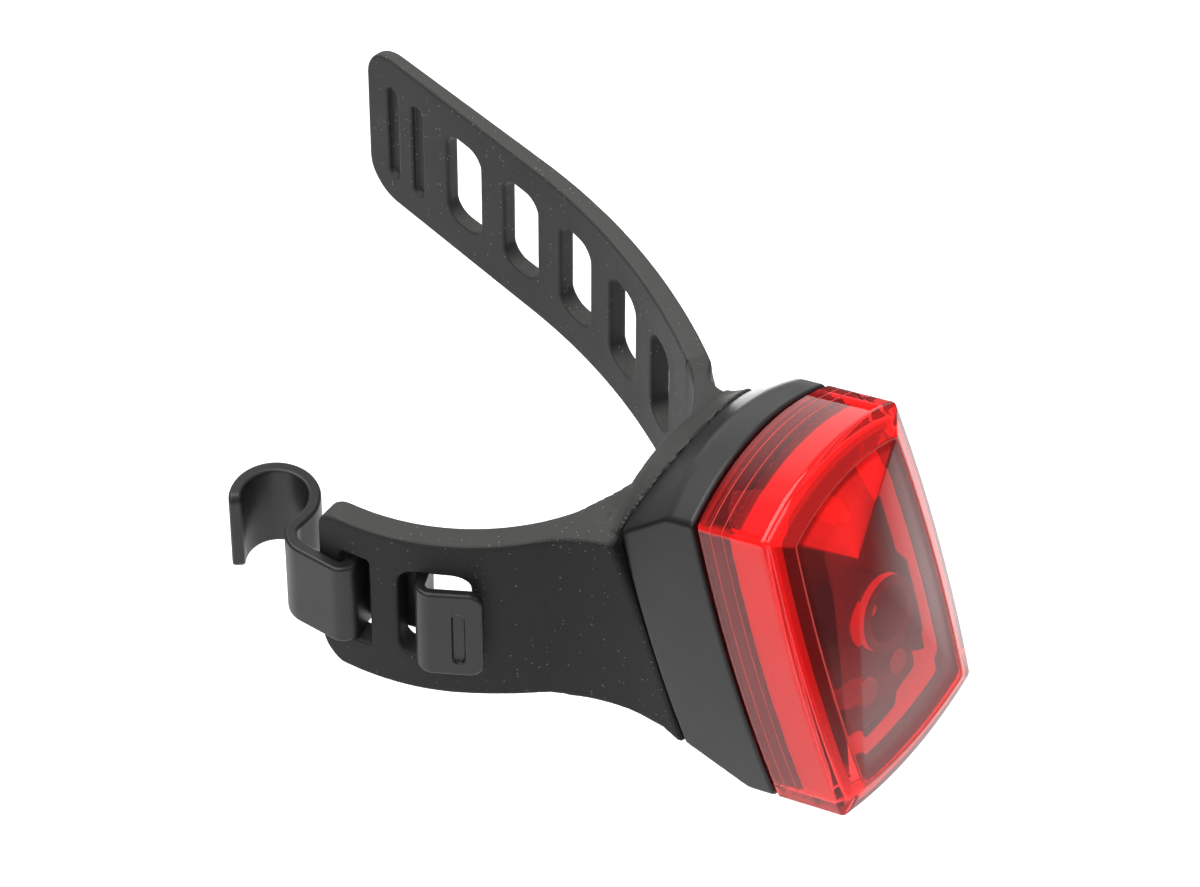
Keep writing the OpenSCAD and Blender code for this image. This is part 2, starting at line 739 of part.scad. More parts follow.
module press_switch() {
    color("#cfcfd3") in_head() difference() {
        block_at(switch_at, [switch_w, switch_w], board_z, board_z + switch_h);
        post_at(switch_at, plunger_r + drop_gap / 2, board_z + 0.4, board_z + switch_h + 1);
    }
}

module switch_plunger() {
    color("#8c2f2a") in_head() post_at(switch_at, plunger_r, board_z + 0.5 + press, plunger_top);
}

// Power: tray on the housing's floor, two cells face to face, contact strips up to the board
tray_r = cell_d / 2 + drop_gap + tray_wall;
module contact(side, z0) {
    block_at([0, side * riser_y / 2], [contact_w, riser_y], z0, z0 + contact_t);
    block_at([0, side * (riser_y - contact_t / 2)], [contact_w, contact_t], z0, board_back);
}

module battery_tray() {
    color("#1f1f21") in_head() difference() {
        post_at([0, 0], tray_r, floor_z, cells_top);
        post_at([0, 0], cell_d / 2 + drop_gap, tray_floor, cells_top + 1);
        for (side = [-1, 1])
            block_at([0, side * (tray_r - tray_wall / 2)], [contact_w + 2 * drop_gap, 2 * tray_wall],
                     tray_floor, cells_top + 1);
    }
}

module coin_cell(i) {
    color("silver") in_head() post_at([0, 0], cell_d / 2, cell_z + i * cell_t, cell_z + (i + 1) * cell_t);
}
module coin_cell_1() { coin_cell(0); }
module coin_cell_2() { coin_cell(1); }

module positive_contact() { color("goldenrod") in_head() contact(-1, cells_top); }
module negative_contact() { color("goldenrod") in_head() contact(1, tray_floor); }

lens();
housing();
strap_saddle();
strap_short_arm();
strap_long_arm_1();
strap_long_arm_2();
strap_long_arm_3();
strap_long_arm_4();
strap_long_arm_5();
hook_clip();
light_frame();
lamp_cup();
main_led();
side_leds();
circuit_board();
control_chip();
board_resistors();
board_capacitor();
press_switch();
switch_plunger();
battery_tray();
coin_cell_1();
coin_cell_2();
positive_contact();
negative_contact();
case_seal();
board_screws();
strap_plate();
strap_screws();
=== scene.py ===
"""Looks of a bicycle rear light on a rubber strap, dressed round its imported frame."""

import logging
import math
from dataclasses import dataclass, field
from enum import Enum
from typing import Callable, Iterable, Sequence

import bmesh
import bpy
import numpy as np
from mathutils import Matrix, Vector


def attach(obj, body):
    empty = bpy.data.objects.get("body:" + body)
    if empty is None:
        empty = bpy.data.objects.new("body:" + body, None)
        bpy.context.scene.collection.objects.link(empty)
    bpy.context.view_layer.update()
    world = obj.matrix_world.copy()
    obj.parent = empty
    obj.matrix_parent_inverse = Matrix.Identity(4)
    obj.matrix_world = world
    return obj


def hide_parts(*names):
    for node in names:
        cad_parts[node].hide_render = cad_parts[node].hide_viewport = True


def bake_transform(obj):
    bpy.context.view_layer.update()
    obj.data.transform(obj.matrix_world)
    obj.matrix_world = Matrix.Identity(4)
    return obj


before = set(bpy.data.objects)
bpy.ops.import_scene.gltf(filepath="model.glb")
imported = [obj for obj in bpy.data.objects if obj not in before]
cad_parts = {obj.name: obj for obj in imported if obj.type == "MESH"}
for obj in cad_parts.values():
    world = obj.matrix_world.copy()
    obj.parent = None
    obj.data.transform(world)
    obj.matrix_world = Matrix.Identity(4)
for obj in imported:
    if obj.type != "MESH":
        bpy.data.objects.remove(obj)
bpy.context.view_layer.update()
LOG = logging.getLogger("rear_light")
MM = 0.001
FAR = 150.0
CAP = 50.0

Array = np.ndarray
Form = Callable[[Array], Array]
Colour = tuple[float, float, float]
Span = tuple[float, float]
Box = tuple[Sequence[float], Sequence[float]]
Socket = bpy.types.NodeSocket
Tree = bpy.types.NodeTree
Material = bpy.types.Material
Piece = bpy.types.Object


class Body(Enum):
    """Bodies of the light that pieces ride on."""

    HEAD = "head"
    LENS = "lens"
    SHORT_ARM = "short_arm"
    CLIP = "clip"
    LONG_1 = "long_arm_1"
    LONG_2 = "long_arm_2"
    LONG_3 = "long_arm_3"
    LONG_4 = "long_arm_4"
    LONG_5 = "long_arm_5"


class Side(Enum):
    """Upper or lower side of the head."""

    TOP = 1
    BOTTOM = -1


def round_max(a: Array, b: Array, r: float) -> Array:
    """Shared inside of two forms, with their common edge rounded.

    Args:
        a: Distances to the first form, in mm.
        b: Distances to the second form.
        r: Radius of the rounded edge.

    Returns:
        Distances to the shared form.
    """
    return np.minimum(np.maximum(a, b), -r) + np.hypot(np.maximum(a + r, 0), np.maximum(b + r, 0))


def round_min(a: Array, b: Array, r: float) -> Array:
    """Union of two forms with a fillet between them.

    Args:
        a: Distances to the first form, in mm.
        b: Distances to the second form.
        r: Radius of the fillet.

    Returns:
        Distances to the joined form.
    """
    return np.maximum(np.minimum(a, b), r) - np.hypot(np.maximum(r - a, 0), np.maximum(r - b, 0))


def round_box(u: Array, v: Array, half_u: float | Array, half_v: float | Array, r: float | Array) -> Array:
    """Distance to a rectangle with round corners about the origin of two coordinates.

    Args:
        u: First coordinates.
        v: Second coordinates.
        half_u: Half of its width.
        half_v: Half of its height.
        r: Radius of its corners.

    Returns:
        Distances in mm, negative inside.
    """
    qu = np.abs(u) - half_u + r
    qv = np.abs(v) - half_v + r
    return np.hypot(np.maximum(qu, 0), np.maximum(qv, 0)) + np.minimum(np.maximum(qu, qv), 0) - r


def polygon_distance(points: Array, corners: Array) -> Array:
    """Signed distance of plan points to a closed polygon.

    Args:
        points: Plan points, one row each.
        corners: The polygon's corners in order.

    Returns:
        Distances, negative inside.
    """
    best = np.full(len(points), 1e9)
    inside = np.zeros(len(points), bool)
    for a, b in zip(corners, np.roll(corners, -1, axis=0)):
        edge = b - a
        rel = points - a
        t = np.clip(rel @ edge / max(float(edge @ edge), 1e-12), 0, 1)
        gap = rel - t[:, None] * edge
        best = np.minimum(best, np.einsum("ij,ij->i", gap, gap))
        crosses = (a[1] > points[:, 1]) != (b[1] > points[:, 1])
        if abs(edge[1]) > 1e-12:
            inside ^= crosses & (points[:, 0] < a[0] + edge[0] * (points[:, 1] - a[1]) / edge[1])
    return np.where(inside, -1.0, 1.0) * np.sqrt(best)


def bent(a: Array, b: Array, c: Array, n: int = 16) -> Array:
    """Points of a curve from a to c that leaves and arrives towards b."""
    t = np.linspace(0, 1, n + 1)[:, None]
    return (1 - t) ** 2 * a + 2 * t * (1 - t) * b + t ** 2 * c


def placed(name: str, data: bpy.types.ID) -> Piece:
    """Makes an object of a mesh, lamp or camera and links it to the scene.

    Args:
        name: Name of the object.
        data: The mesh, lamp or camera.

    Returns:
        The object.
    """
    item = bpy.data.objects.new(name, data)
    bpy.context.scene.collection.objects.link(item)
    return item


@dataclass
class Cut:
    """A plane that trims a skin: what lies beyond it along its normal goes."""

    point: Sequence[float]
    normal: Sequence[float]


@dataclass
class Skinner:
    """Covers a form given as distances with a closed mesh of quads that lie on its surface."""

    step: Sequence[float] = (0.4, 0.4, 0.4)
    settle: int = 5
    nudge: float = 0.02
    ease: float = 0.5
    hold: float = 0.6

    def slope(self, form: Form, points: Array) -> Array:
        """Direction in which the form's distance grows, one row per point.

        Args:
            form: Distances of points to the form.
            points: Points, one row each.

        Returns:
            The directions, one row each.
        """
        out = np.empty_like(points)
        for k in range(3):
            shift = np.zeros(3)
            shift[k] = self.nudge
            out[:, k] = (form(points + shift) - form(points - shift)) / (2 * self.nudge)
        return out

    def net(self, form: Form, lo: Sequence[float], hi: Sequence[float]) -> tuple[Array, Array]:
        """Covers the form inside a box.

        Args:
            form: Distances of points to the form, in mm.
            lo: Lowest corner of the box.
            hi: Highest corner of the box.

        Returns:
            The skin's points and its quads.
        """
        lo, step = np.array(lo, float), np.array(self.step, float)
        counts = np.ceil((np.array(hi) - lo) / step).astype(int) + 1
        axes = [lo[k] + step[k] * np.arange(counts[k]) for k in range(3)]
        sheet = np.stack(np.meshgrid(axes[1], axes[2], indexing="ij"), -1).reshape(-1, 2)
        value = np.empty(tuple(counts))
        for i, x in enumerate(axes[0]):
            value[i] = form(np.column_stack([np.full(len(sheet), x), sheet])).reshape(counts[1], counts[2])
        cells = tuple(counts - 1)
        total, hits, quads = np.zeros((np.prod(cells), 3)), np.zeros(np.prod(cells)), []
        for k in range(3):
            m, n = (k + 1) % 3, (k + 2) % 3
            near, far = [slice(None)] * 3, [slice(None)] * 3
            near[k], far[k] = slice(0, -1), slice(1, None)
            va, vb = value[tuple(near)], value[tuple(far)]
            edge = np.argwhere((va < 0) != (vb < 0))
            whole = (edge[:, m] > 0) & (edge[:, n] > 0) & (edge[:, m] < cells[m]) & (edge[:, n] < cells[n])
            edge = edge[whole]
            a, b = va[tuple(edge.T)], vb[tuple(edge.T)]
            point = lo + edge * step
            point[:, k] += a / (a - b) * step[k]
            ring = []
            for dm, dn in ((-1, -1), (0, -1), (0, 0), (-1, 0)):
                cell = edge.copy()
                cell[:, m] += dm
                cell[:, n] += dn
                flat = np.ravel_multi_index(tuple(cell.T), cells)
                np.add.at(total, flat, point)
                np.add.at(hits, flat, 1)
                ring.append(flat)
            ring = np.stack(ring, 1)
            ring[a > 0] = ring[a > 0][:, ::-1]
            quads.append(ring)
        used, faces = np.unique(np.concatenate(quads), return_inverse=True)
        points = total[used] / hits[used][:, None]
        return self.settled(form, points, faces.reshape(-1, 4)), faces.reshape(-1, 4)

    def settled(self, form: Form, points: Array, faces: Array) -> Array:
        """Evens out the points along the surface and drops them onto it.

        Args:
            form: Distances of points to the form.
            points: The skin's points.
            faces: Its quads.

        Returns:
            The moved points.
        """
        links = np.concatenate([faces[:, [0, 1]], faces[:, [1, 2]], faces[:, [2, 3]], faces[:, [3, 0]]])
        links = np.concatenate([links, links[:, ::-1]])
        weight = np.zeros(len(points))
        np.add.at(weight, links[:, 0], 1)
        limit = self.hold * min(self.step)
        for turn in range(self.settle):
            grow = self.slope(form, points)
            grow /= np.maximum(np.linalg.norm(grow, axis=1), 1e-6)[:, None]
            if turn < self.settle - 2:
                mean = np.zeros_like(points)
                np.add.at(mean, links[:, 0], points[links[:, 1]])
                move = self.ease * (mean / weight[:, None] - points)
                points = points + move - np.einsum("ij,ij->i", move, grow)[:, None] * grow
            points = points - np.clip(form(points), -limit, limit)[:, None] * grow
        return points

    def piece(self, name: str, form: Form, lo: Sequence[float], hi: Sequence[float],
              place: Form | None = None, cuts: Iterable[Cut] = ()) -> Piece:
        """Makes one closed object from a form.

        Args:
            name: Name of the object.
            form: Distances of points to the form, in its own coordinates.
            lo: Lowest corner of the box that holds it.
            hi: Highest corner of that box.
            place: Turns the form's coordinates into the light's, both in mm.
            cuts: Planes that trim it, in the form's coordinates.

        Returns:
            The object, linked to the scene.
        """
        points, faces = self.net(form, lo, hi)
        mesh = bpy.data.meshes.new(name)
        mesh.from_pydata(points.tolist(), [], faces.tolist())
        bm = bmesh.new()
        bm.from_mesh(mesh)
        for cut in cuts:
            everything = bm.verts[:] + bm.edges[:] + bm.faces[:]
            done = bmesh.ops.bisect_plane(bm, geom=everything, dist=1e-6, plane_co=Vector(cut.point),
                                          plane_no=Vector(cut.normal), clear_outer=True)
            rim = [e for e in done["geom_cut"] if isinstance(e, bmesh.types.BMEdge)]
            caps = bmesh.ops.edgenet_fill(bm, edges=rim, mat_nr=0)["faces"]
            for cap in caps:
                cap.smooth = False
                if cap.normal.dot(Vector(cut.normal)) < 0:
                    cap.normal_flip()
        flat = [not f.smooth for f in bm.faces] if cuts else None
        bm.normal_update()
        bm.verts.ensure_lookup_table()
        local = np.array([v.co for v in bm.verts])
        world = local if place is None else place(local)
        normal = self.slope(form, local)
        if place is not None:
            turn = np.stack([(place(local + h) - place(local - h)) / (2 * self.nudge)
                             for h in self.nudge * np.eye(3)], -1)
            normal = np.einsum("nij,nj->ni", np.linalg.inv(turn).transpose(0, 2, 1), normal)
        normal /= np.maximum(np.linalg.norm(normal, axis=1), 1e-9)[:, None]
        for v, co in zip(bm.verts, world):
            v.co = Vector(co) * MM
        bm.normal_update()
        for f in bm.faces:
            f.smooth = True
        bm.to_mesh(mesh)
        bm.free()
        loops = np.empty(len(mesh.loops), np.int32)
        mesh.loops.foreach_get("vertex_index", loops)
        corner = normal[loops]
        for polygon in mesh.polygons:
            if flat is not None and flat[polygon.index]:
                corner[polygon.loop_start:polygon.loop_start + polygon.loop_total] = polygon.normal
        mesh.normals_split_custom_set(corner.tolist())
        return placed(name, mesh)


class Board:
    """Short-hand for placing and wiring nodes in one node tree."""

    def __init__(self, tree: Tree) -> None:
        """Keeps the tree that the nodes go into."""
        self.tree = tree

    @classmethod
    def blank(cls, name: str) -> tuple[Material, "Board"]:
        """Starts a material with an empty node tree.

        Args:
            name: Name of the material.

        Returns:
            The material and a board on its tree.
        """
        made = bpy.data.materials.new(name)
        made.use_nodes = True
        made.node_tree.nodes.clear()
        return made, cls(made.node_tree)

    def add(self, kind: str, values: dict | None = None, **settings: object) -> bpy.types.Node:
        """Places a node.

        Args:
            kind: Blender's type of the node.
            values: Input names or places, with a constant or an output socket to wire in.
            **settings: Attributes of the node.

        Returns:
            The node.
        """
        node = self.tree.nodes.new(kind)
        for key, value in settings.items():
            setattr(node, key, value)
        for key, value in (values or {}).items():
            if isinstance(value, Socket):
                self.tree.links.new(value, node.inputs[key])
            else:
                node.inputs[key].default_value = value
        return node

    def maths(self, operation: str, a: object, b: object = 0.0) -> Socket:
        """Result of one sum on values or sockets."""
        return self.add("ShaderNodeMath", {0: a, 1: b}, operation=operation).outputs[0]

    def times(self, a: object, b: object) -> Socket:
        """Product of two values or sockets."""
        return self.maths("MULTIPLY", a, b)

    def plus(self, a: object, b: object) -> Socket:
        """Sum of two values or sockets."""
        return self.maths("ADD", a, b)

    def less(self, a: object, b: object) -> Socket:
        """First value or socket less the second."""
        return self.maths("SUBTRACT", a, b)

    def dot(self, vector: Socket, axis: Sequence[float]) -> Socket:
        """Share of a vector along an axis."""
        made = self.add("ShaderNodeVectorMath", {0: vector, 1: tuple(axis)}, operation="DOT_PRODUCT")
        return made.outputs["Value"]

    def between(self, share: Socket, a: object, b: object) -> Socket:
        """Value that goes from a to b as the share goes from 0 to 1."""
        return self.add("ShaderNodeMapRange", {"Value": share, "To Min": a, "To Max": b}).outputs["Result"]

    def ramp(self, value: Socket, low: float, high: float) -> Socket:
        """Smooth step from 0 at low to 1 at high."""
        return self.add("ShaderNodeMapRange", {"Value": value, "From Min": low, "From Max": high},
                        interpolation_type="SMOOTHSTEP").outputs["Result"]

    def blend(self, mask: Socket, a: object, b: object) -> Socket:
        """Colour a where the mask is 0 and b where it is 1.

        Args:
            mask: Share of the second colour.
            a: First colour, plain or a socket.
            b: Second colour, plain or a socket.

        Returns:
            The mixed colour.
        """
        node = self.add("ShaderNodeMix", data_type="RGBA")
        for socket, value in zip((node.inputs[0], node.inputs[6], node.inputs[7]), (mask, a, b)):
            if isinstance(value, Socket):
                self.tree.links.new(value, socket)
            else:
                socket.default_value = value
        return node.outputs[2]


class Effects:
    """Node groups that several finishes share, each built once."""

    groups: dict[str, Tree] = {}
    finishes: dict[str, Material] = {}

    @classmethod
    def make(cls, name: str, inputs: dict[str, float], outputs: Sequence[str]) -> tuple[Tree, Board]:
        """Starts a group with named value sockets.

        Args:
            name: Name of the group.
            inputs: Its inputs with their first values.
            outputs: Its outputs.

        Returns:
            The group and a board on it.
        """
        tree = bpy.data.node_groups.new(name, "ShaderNodeTree")
        for key, value in inputs.items():
            made = tree.interface.new_socket(key, in_out="INPUT", socket_type="NodeSocketFloat")
            made.default_value = value
        for key in outputs:
            tree.interface.new_socket(key, in_out="OUTPUT", socket_type="NodeSocketFloat")
        cls.groups[name] = tree
        return tree, Board(tree)

    @staticmethod
    def in_mm(board: Board) -> Socket:
        """Places on the piece in mm."""
        where = board.add("ShaderNodeTexCoord").outputs["Object"]
        return board.add("ShaderNodeVectorMath", {0: where, "Scale": 1 / MM}, operation="SCALE").outputs[0]

    @classmethod
    def specks(cls) -> Tree:
        """Sparse pale dust specks of uneven size.

        Returns:
            The group, which puts out a mask.
        """
        if "dust_specks" in cls.groups:
            return cls.groups["dust_specks"]
        tree, board = cls.make("dust_specks", {"Scale": 1.0, "Amount": 0.3, "Size": 0.2}, ["Mask"])
        given = board.add("NodeGroupInput").outputs
        where = cls.in_mm(board)
        cell = board.add("ShaderNodeTexVoronoi", {"Vector": where, "Scale": given["Scale"]})
        toss = board.add("ShaderNodeSeparateColor", {"Color": cell.outputs["Color"]}).outputs
        patch = board.add("ShaderNodeTexNoise", {"Vector": where, "Scale": 0.12, "Detail": 2.0}).outputs[0]
        keep = board.maths("LESS_THAN", toss[0], board.times(given["Amount"], board.ramp(patch, 0.3, 0.7)))
        radius = board.times(given["Size"], board.plus(toss[1], 0.35))
        near = board.maths("LESS_THAN", cell.outputs["Distance"], radius)
        board.add("NodeGroupOutput", {"Mask": board.times(keep, near)})
        return tree

    @classmethod
    def grain(cls) -> Tree:
        """Fine moulded grain with slow changes of tone.

        Returns:
            The group, which puts out a height and a tone.
        """
        if "fine_grain" in cls.groups:
            return cls.groups["fine_grain"]
        tree, board = cls.make("fine_grain", {"Scale": 6.0, "Patch": 0.15}, ["Height", "Tone"])
        given = board.add("NodeGroupInput").outputs
        where = cls.in_mm(board)
        fine, slow = (
            board.add("ShaderNodeTexNoise", {"Vector": where, "Scale": scale, "Detail": detail}).outputs[0]
            for scale, detail in ((given["Scale"], 3.0), (given["Patch"], 4.0)))
        tone = board.plus(board.times(slow, 0.7), board.times(fine, 0.3))
        board.add("NodeGroupOutput", {"Height": fine, "Tone": tone})
        return tree


@dataclass(frozen=True)
class MouldedFinish:
    """Opaque moulded surface with grain, slow changes of tone, a lighter tint on what faces up that is partly
    dust and partly painted light from above, and dust.
    """

    name: str
    colour: Colour
    tone: Colour
    roughness: float = 0.5
    metallic: float = 0.0
    specular: float = 0.5
    grain: float = 6.0
    bump: float = 0.02
    dust: Colour | None = None
    dust_amount: float = 0.0
    dust_size: float = 0.18
    dust_and_top_light: Colour | None = None
    tone_span: Span = (0.3, 0.7)
    dust_and_top_light_span: Span = (0.3, 0.95)
    sway: float = 0.06
    relief: float = 0.6
    dust_scale: float = 1.7

    def material(self) -> Material:
        """Builds the finish's material, or gives the one built before.

        Returns:
            The material.
        """
        if self.name in Effects.finishes:
            return Effects.finishes[self.name]
        made, board = Board.blank(f"{self.name}_finish")
        Effects.finishes[self.name] = made
        grain = board.add("ShaderNodeGroup", node_tree=Effects.grain())
        grain.inputs["Scale"].default_value = self.grain
        tone = grain.outputs["Tone"]
        colour = board.blend(board.ramp(tone, *self.tone_span), (*self.colour, 1), (*self.tone, 1))
        # Upward faces turn lighter: partly dust, partly painted light from above.
        if self.dust_and_top_light:
            facing = board.add("ShaderNodeNewGeometry").outputs["Normal"]
            upward = board.add("ShaderNodeSeparateXYZ", {0: facing}).outputs[2]
            colour = board.blend(board.ramp(upward, *self.dust_and_top_light_span), colour, (*self.dust_and_top_light, 1))
        rough = board.add("ShaderNodeMapRange", {
            "Value": tone, "From Min": self.tone_span[0], "From Max": self.tone_span[1],
            "To Min": self.roughness - self.sway, "To Max": self.roughness + self.sway})
        if self.dust:
            specks = board.add("ShaderNodeGroup", node_tree=Effects.specks())
            sizes = {"Scale": self.dust_scale, "Amount": self.dust_amount, "Size": self.dust_size}
            for key, value in sizes.items():
                specks.inputs[key].default_value = value
            colour = board.blend(specks.outputs["Mask"], colour, (*self.dust, 1))
        bump = board.add("ShaderNodeBump", {"Height": grain.outputs["Height"], "Strength": self.relief,
                                            "Distance": self.bump * MM})
        shader = board.add("ShaderNodeBsdfPrincipled", {
            "Base Color": colour, "Roughness": rough.outputs["Result"], "Metallic": self.metallic,
            "Specular IOR Level": self.specular, "Normal": bump.outputs[0]})
        board.add("ShaderNodeOutputMaterial", {"Surface": shader.outputs[0]})
        return made


class HeadPlaces:
    """Places and directions in the head's axes, as sockets of one node tree, in mm."""

    def __init__(self, board: Board, head: "HeadFrame") -> None:
        """Wires up x across, y up and z out of the lens, and the facing along them.

        Args:
            board: Board of the material.
            head: The head's axes.
        """
        geometry = board.add("ShaderNodeNewGeometry").outputs
        self.x, self.y, self.z = (
            board.plus(board.dot(geometry["Position"], axis / MM), -float(axis @ np.array(head.place)))
            for axis in head.axes)
        self.nx, self.ny, self.nz = (board.dot(geometry["Normal"], axis) for axis in head.axes)


@dataclass(frozen=True)
class FrameFinish:
    """Pale moulding whose upper walls stay pale while their feet and the walls turned from the light get
    painted shade, and whose lit inner walls get a painted red glow.
    """

    head: "HeadFrame"
    name: str = "frame_pale"
    pale: Colour = (0.8, 0.75, 0.74)
    # shade is painted shade on the frame's feet, on the walls turned from the light and on most of the
    # flange.
    shade: Colour = (0.03, 0.014, 0.017)
    right: Span = (-3.83, -5.0)
    right_y: Span = (-1.6, -0.2)
    right_top: float = -2.05
    bottom: Span = (-4.7, -6.3)
    bottom_x: Span = (2.5, 6.5)
    bottom_y: Span = (-13.6, -15.0)
    bottom_top: float = -2.7
    brow: float = -4.4
    ledge: float = 5.2
    # A painted red glow for the light through the lens, on the lit inner walls.
    painted_red_glow: Colour = (0.3, 0.008, 0.008)
    roughness: float = 0.4
    soft: float = 0.1
    foot_soft: float = 0.12
    brow_drop: float = 0.6
    up_span: Span = (0.5, 0.8)
    out_span: Span = (1.0, 4.0)

    def masks(self, board: Board, at: HeadPlaces) -> tuple[Socket, Socket]:
        """Where the moulding keeps its pale colour instead of painted shade, and where it also gets a painted
        red glow for the light from the lens.

        Args:
            board: Board of the material.
            at: Places on the piece.

        Returns:
            Both masks.
        """
        lower = board.between(board.ramp(at.y, *self.right_y), *self.right)
        corner = board.between(board.ramp(at.x, *self.bottom_x), *self.bottom)
        low = board.ramp(at.y, *self.bottom_y)
        foot = board.plus(board.times(low, corner), board.times(board.less(1.0, low), lower))
        above = board.ramp(board.less(at.z, foot), -self.foot_soft, self.foot_soft)
        crest = board.between(low, self.right_top, self.bottom_top)
        below = board.ramp(board.less(at.z, crest), self.soft, -self.soft)
        facing = board.plus(board.times(at.nx, at.x), board.times(at.ny, at.y))
        rear = board.times(board.ramp(at.ny, *self.up_span),
                           board.ramp(at.z, self.brow - self.soft, self.brow - self.brow_drop))
        outside = board.times(board.ramp(facing, *self.out_span), board.less(1.0, rear))
        inside = board.times(board.times(above, below), board.ramp(facing, *self.out_span[::-1]))
        # Painted light from the left: what faces up near the left side stays pale.
        bow = board.maths("DIVIDE", board.times(at.y, at.y), self.head.tall ** 2 / 4)
        inset = board.less(board.plus(at.x, self.head.wide / 2 + self.head.side_bow), bow)
        ledge = board.times(board.ramp(inset, self.ledge + self.soft, self.ledge - self.soft),
                            board.ramp(at.nz, *self.up_span))
        return board.maths("MAXIMUM", board.maths("MAXIMUM", inside, outside), ledge), inside

    def material(self) -> Material:
        """Builds the finish's material.

        Returns:
            The material.
        """
        made, board = Board.blank(self.name)
        pale, painted_red_glow = self.masks(board, HeadPlaces(board, self.head))
        # Painted shade where the mask is low, and a painted red glow from the emission.
        shader = board.add("ShaderNodeBsdfPrincipled", {
            "Base Color": board.blend(pale, (*self.shade, 1), (*self.pale, 1)), "Roughness": self.roughness,
            "Emission Color": board.blend(painted_red_glow, (0, 0, 0, 1), (*self.painted_red_glow, 1)), "Emission Strength": 1.0})
        board.add("ShaderNodeOutputMaterial", {"Surface": shader.outputs[0]})
        return made


@dataclass(frozen=True)
class CupFinish(FrameFinish):
    """Cup in painted shade, pale only in a band near the top of its outer wall where the light falls, which
    also gets the painted red glow.
    """

    name: str = "cup_painted_shade"
    middle: Span = (3.4, -3.4)
    band: Span = (-3.15, -2.3)
    out_span: Span = (1.0, 2.5)

    def masks(self, board: Board, at: HeadPlaces) -> tuple[Socket, Socket]:
        """Where the cup is pale instead of painted shade, which is also where it gets the painted red glow.

        Args:
            board: Board of the material.
            at: Places on the piece.

        Returns:
            Both masks.
        """
        dx, dy = board.less(at.x, self.middle[0]), board.less(at.y, self.middle[1])
        facing = board.plus(board.times(at.nx, dx), board.times(at.ny, dy))
        height = board.times(board.ramp(at.z, self.band[0] - self.soft, self.band[0] + self.soft),
                             board.ramp(at.z, self.band[1] + self.soft, self.band[1] - self.soft))
        pale = board.times(height, board.ramp(facing, *self.out_span))
        return pale, pale


@dataclass(frozen=True)
class PaintedRedLineFinish:
    """Opaque bright red painted highlight: the line that frames the window and two thin lines on the lens
    walls.
    """

    name: str = "painted_red_line"
    colour: Colour = (0.72, 0.028, 0.018)
    roughness: float = 0.3

    def material(self) -> Material:
        """Builds the finish's material.

        Returns:
            The material.
        """
        made, board = Board.blank(self.name)
        shader = board.add("ShaderNodeBsdfPrincipled", {
            "Base Color": (*self.colour, 1), "Roughness": self.roughness})
        board.add("ShaderNodeOutputMaterial", {"Surface": shader.outputs[0]})
        return made


@dataclass(frozen=True)
class RedLensFinish:
    """Clear red moulding that lets the light in to what lies behind it, with a deeper red and a painted red
    glow on its steep faces, the glow strongest on the window's facets and faint everywhere else.
    """

    head: "HeadFrame"
    name: str = "red_lens"
    colour: Colour = (0.92, 0.05, 0.055)
    # deep is a deeper red painted on the steep faces, and glow is a painted red glow there and faintly
    # everywhere.
    deep: Colour = (0.84, 0.008, 0.008)
    let_in: Colour = (1.0, 0.22, 0.22)
    glow: Colour = (1.0, 0.012, 0.01)
    painted_glow_levels: tuple[float, float, float] = (0.02, 0.32, 0.55)
    window: Span = (1.4, 1.55)
    coat: Span = (0.1, 0.55)
    coat_ior: float = 1.6
    up: tuple[float, float, float] = (0, 0.299, 0.954)
    climb_in: Span = (0.08, 0.22)
    climb_out: Span = (0.9, 0.6)
    roughness: float = 0.02
    ior: float = 1.49
    grain: float = 0.5
    bump: Span = (0.15, 0.02)
    tone_span: Span = (0.3, 0.7)
    fade: Colour = (0.97, 0.8, 0.8)

    def material(self) -> Material:
        """Builds the finish's material.

        Returns:
            The material.
        """
        made, board = Board.blank(self.name)
        grain = board.add("ShaderNodeGroup", node_tree=Effects.grain())
        grain.inputs["Scale"].default_value = self.grain
        bump = board.add("ShaderNodeBump", {"Height": grain.outputs["Height"], "Strength": self.bump[0],
                                            "Distance": self.bump[1] * MM})
        # Painted light: steep faces get the deeper red and a painted red glow, which is strongest on the
        # window.
        faces = board.add("ShaderNodeNewGeometry").outputs["True Normal"]
        climb = board.dot(faces, self.up)
        steep = board.times(board.ramp(climb, *self.climb_in), board.ramp(climb, *self.climb_out))
        faded = (*(c * k for c, k in zip(self.colour, self.fade)), 1)
        shade = board.blend(board.ramp(grain.outputs["Tone"], *self.tone_span), (*self.colour, 1), faded)
        shade = board.blend(steep, shade, (*self.deep, 1))
        window = board.ramp(HeadPlaces(board, self.head).z, *self.window)
        rise = board.plus(board.times(window, self.painted_glow_levels[2]), self.painted_glow_levels[1])
        painted_glow_strength = board.plus(board.times(steep, rise), self.painted_glow_levels[0])
        coat = board.plus(board.times(window, self.coat[1]), self.coat[0])
        glass = board.add("ShaderNodeBsdfPrincipled", {
            "Base Color": shade, "Roughness": self.roughness, "IOR": self.ior, "Transmission Weight": 1.0,
            "Normal": bump.outputs[0], "Coat Weight": coat, "Coat IOR": self.coat_ior,
            "Coat Roughness": self.roughness,
            "Emission Color": board.blend(painted_glow_strength, (0, 0, 0, 1), (*self.glow, 1)), "Emission Strength": 1.0})
        through = board.add("ShaderNodeBsdfTransparent", {"Color": (*self.let_in, 1)})
        path = board.add("ShaderNodeLightPath").outputs["Is Shadow Ray"]
        mix = board.add("ShaderNodeMixShader", {0: path, 1: glass.outputs[0], 2: through.outputs[0]})
        board.add("ShaderNodeOutputMaterial", {"Surface": mix.outputs[0]})
        return made


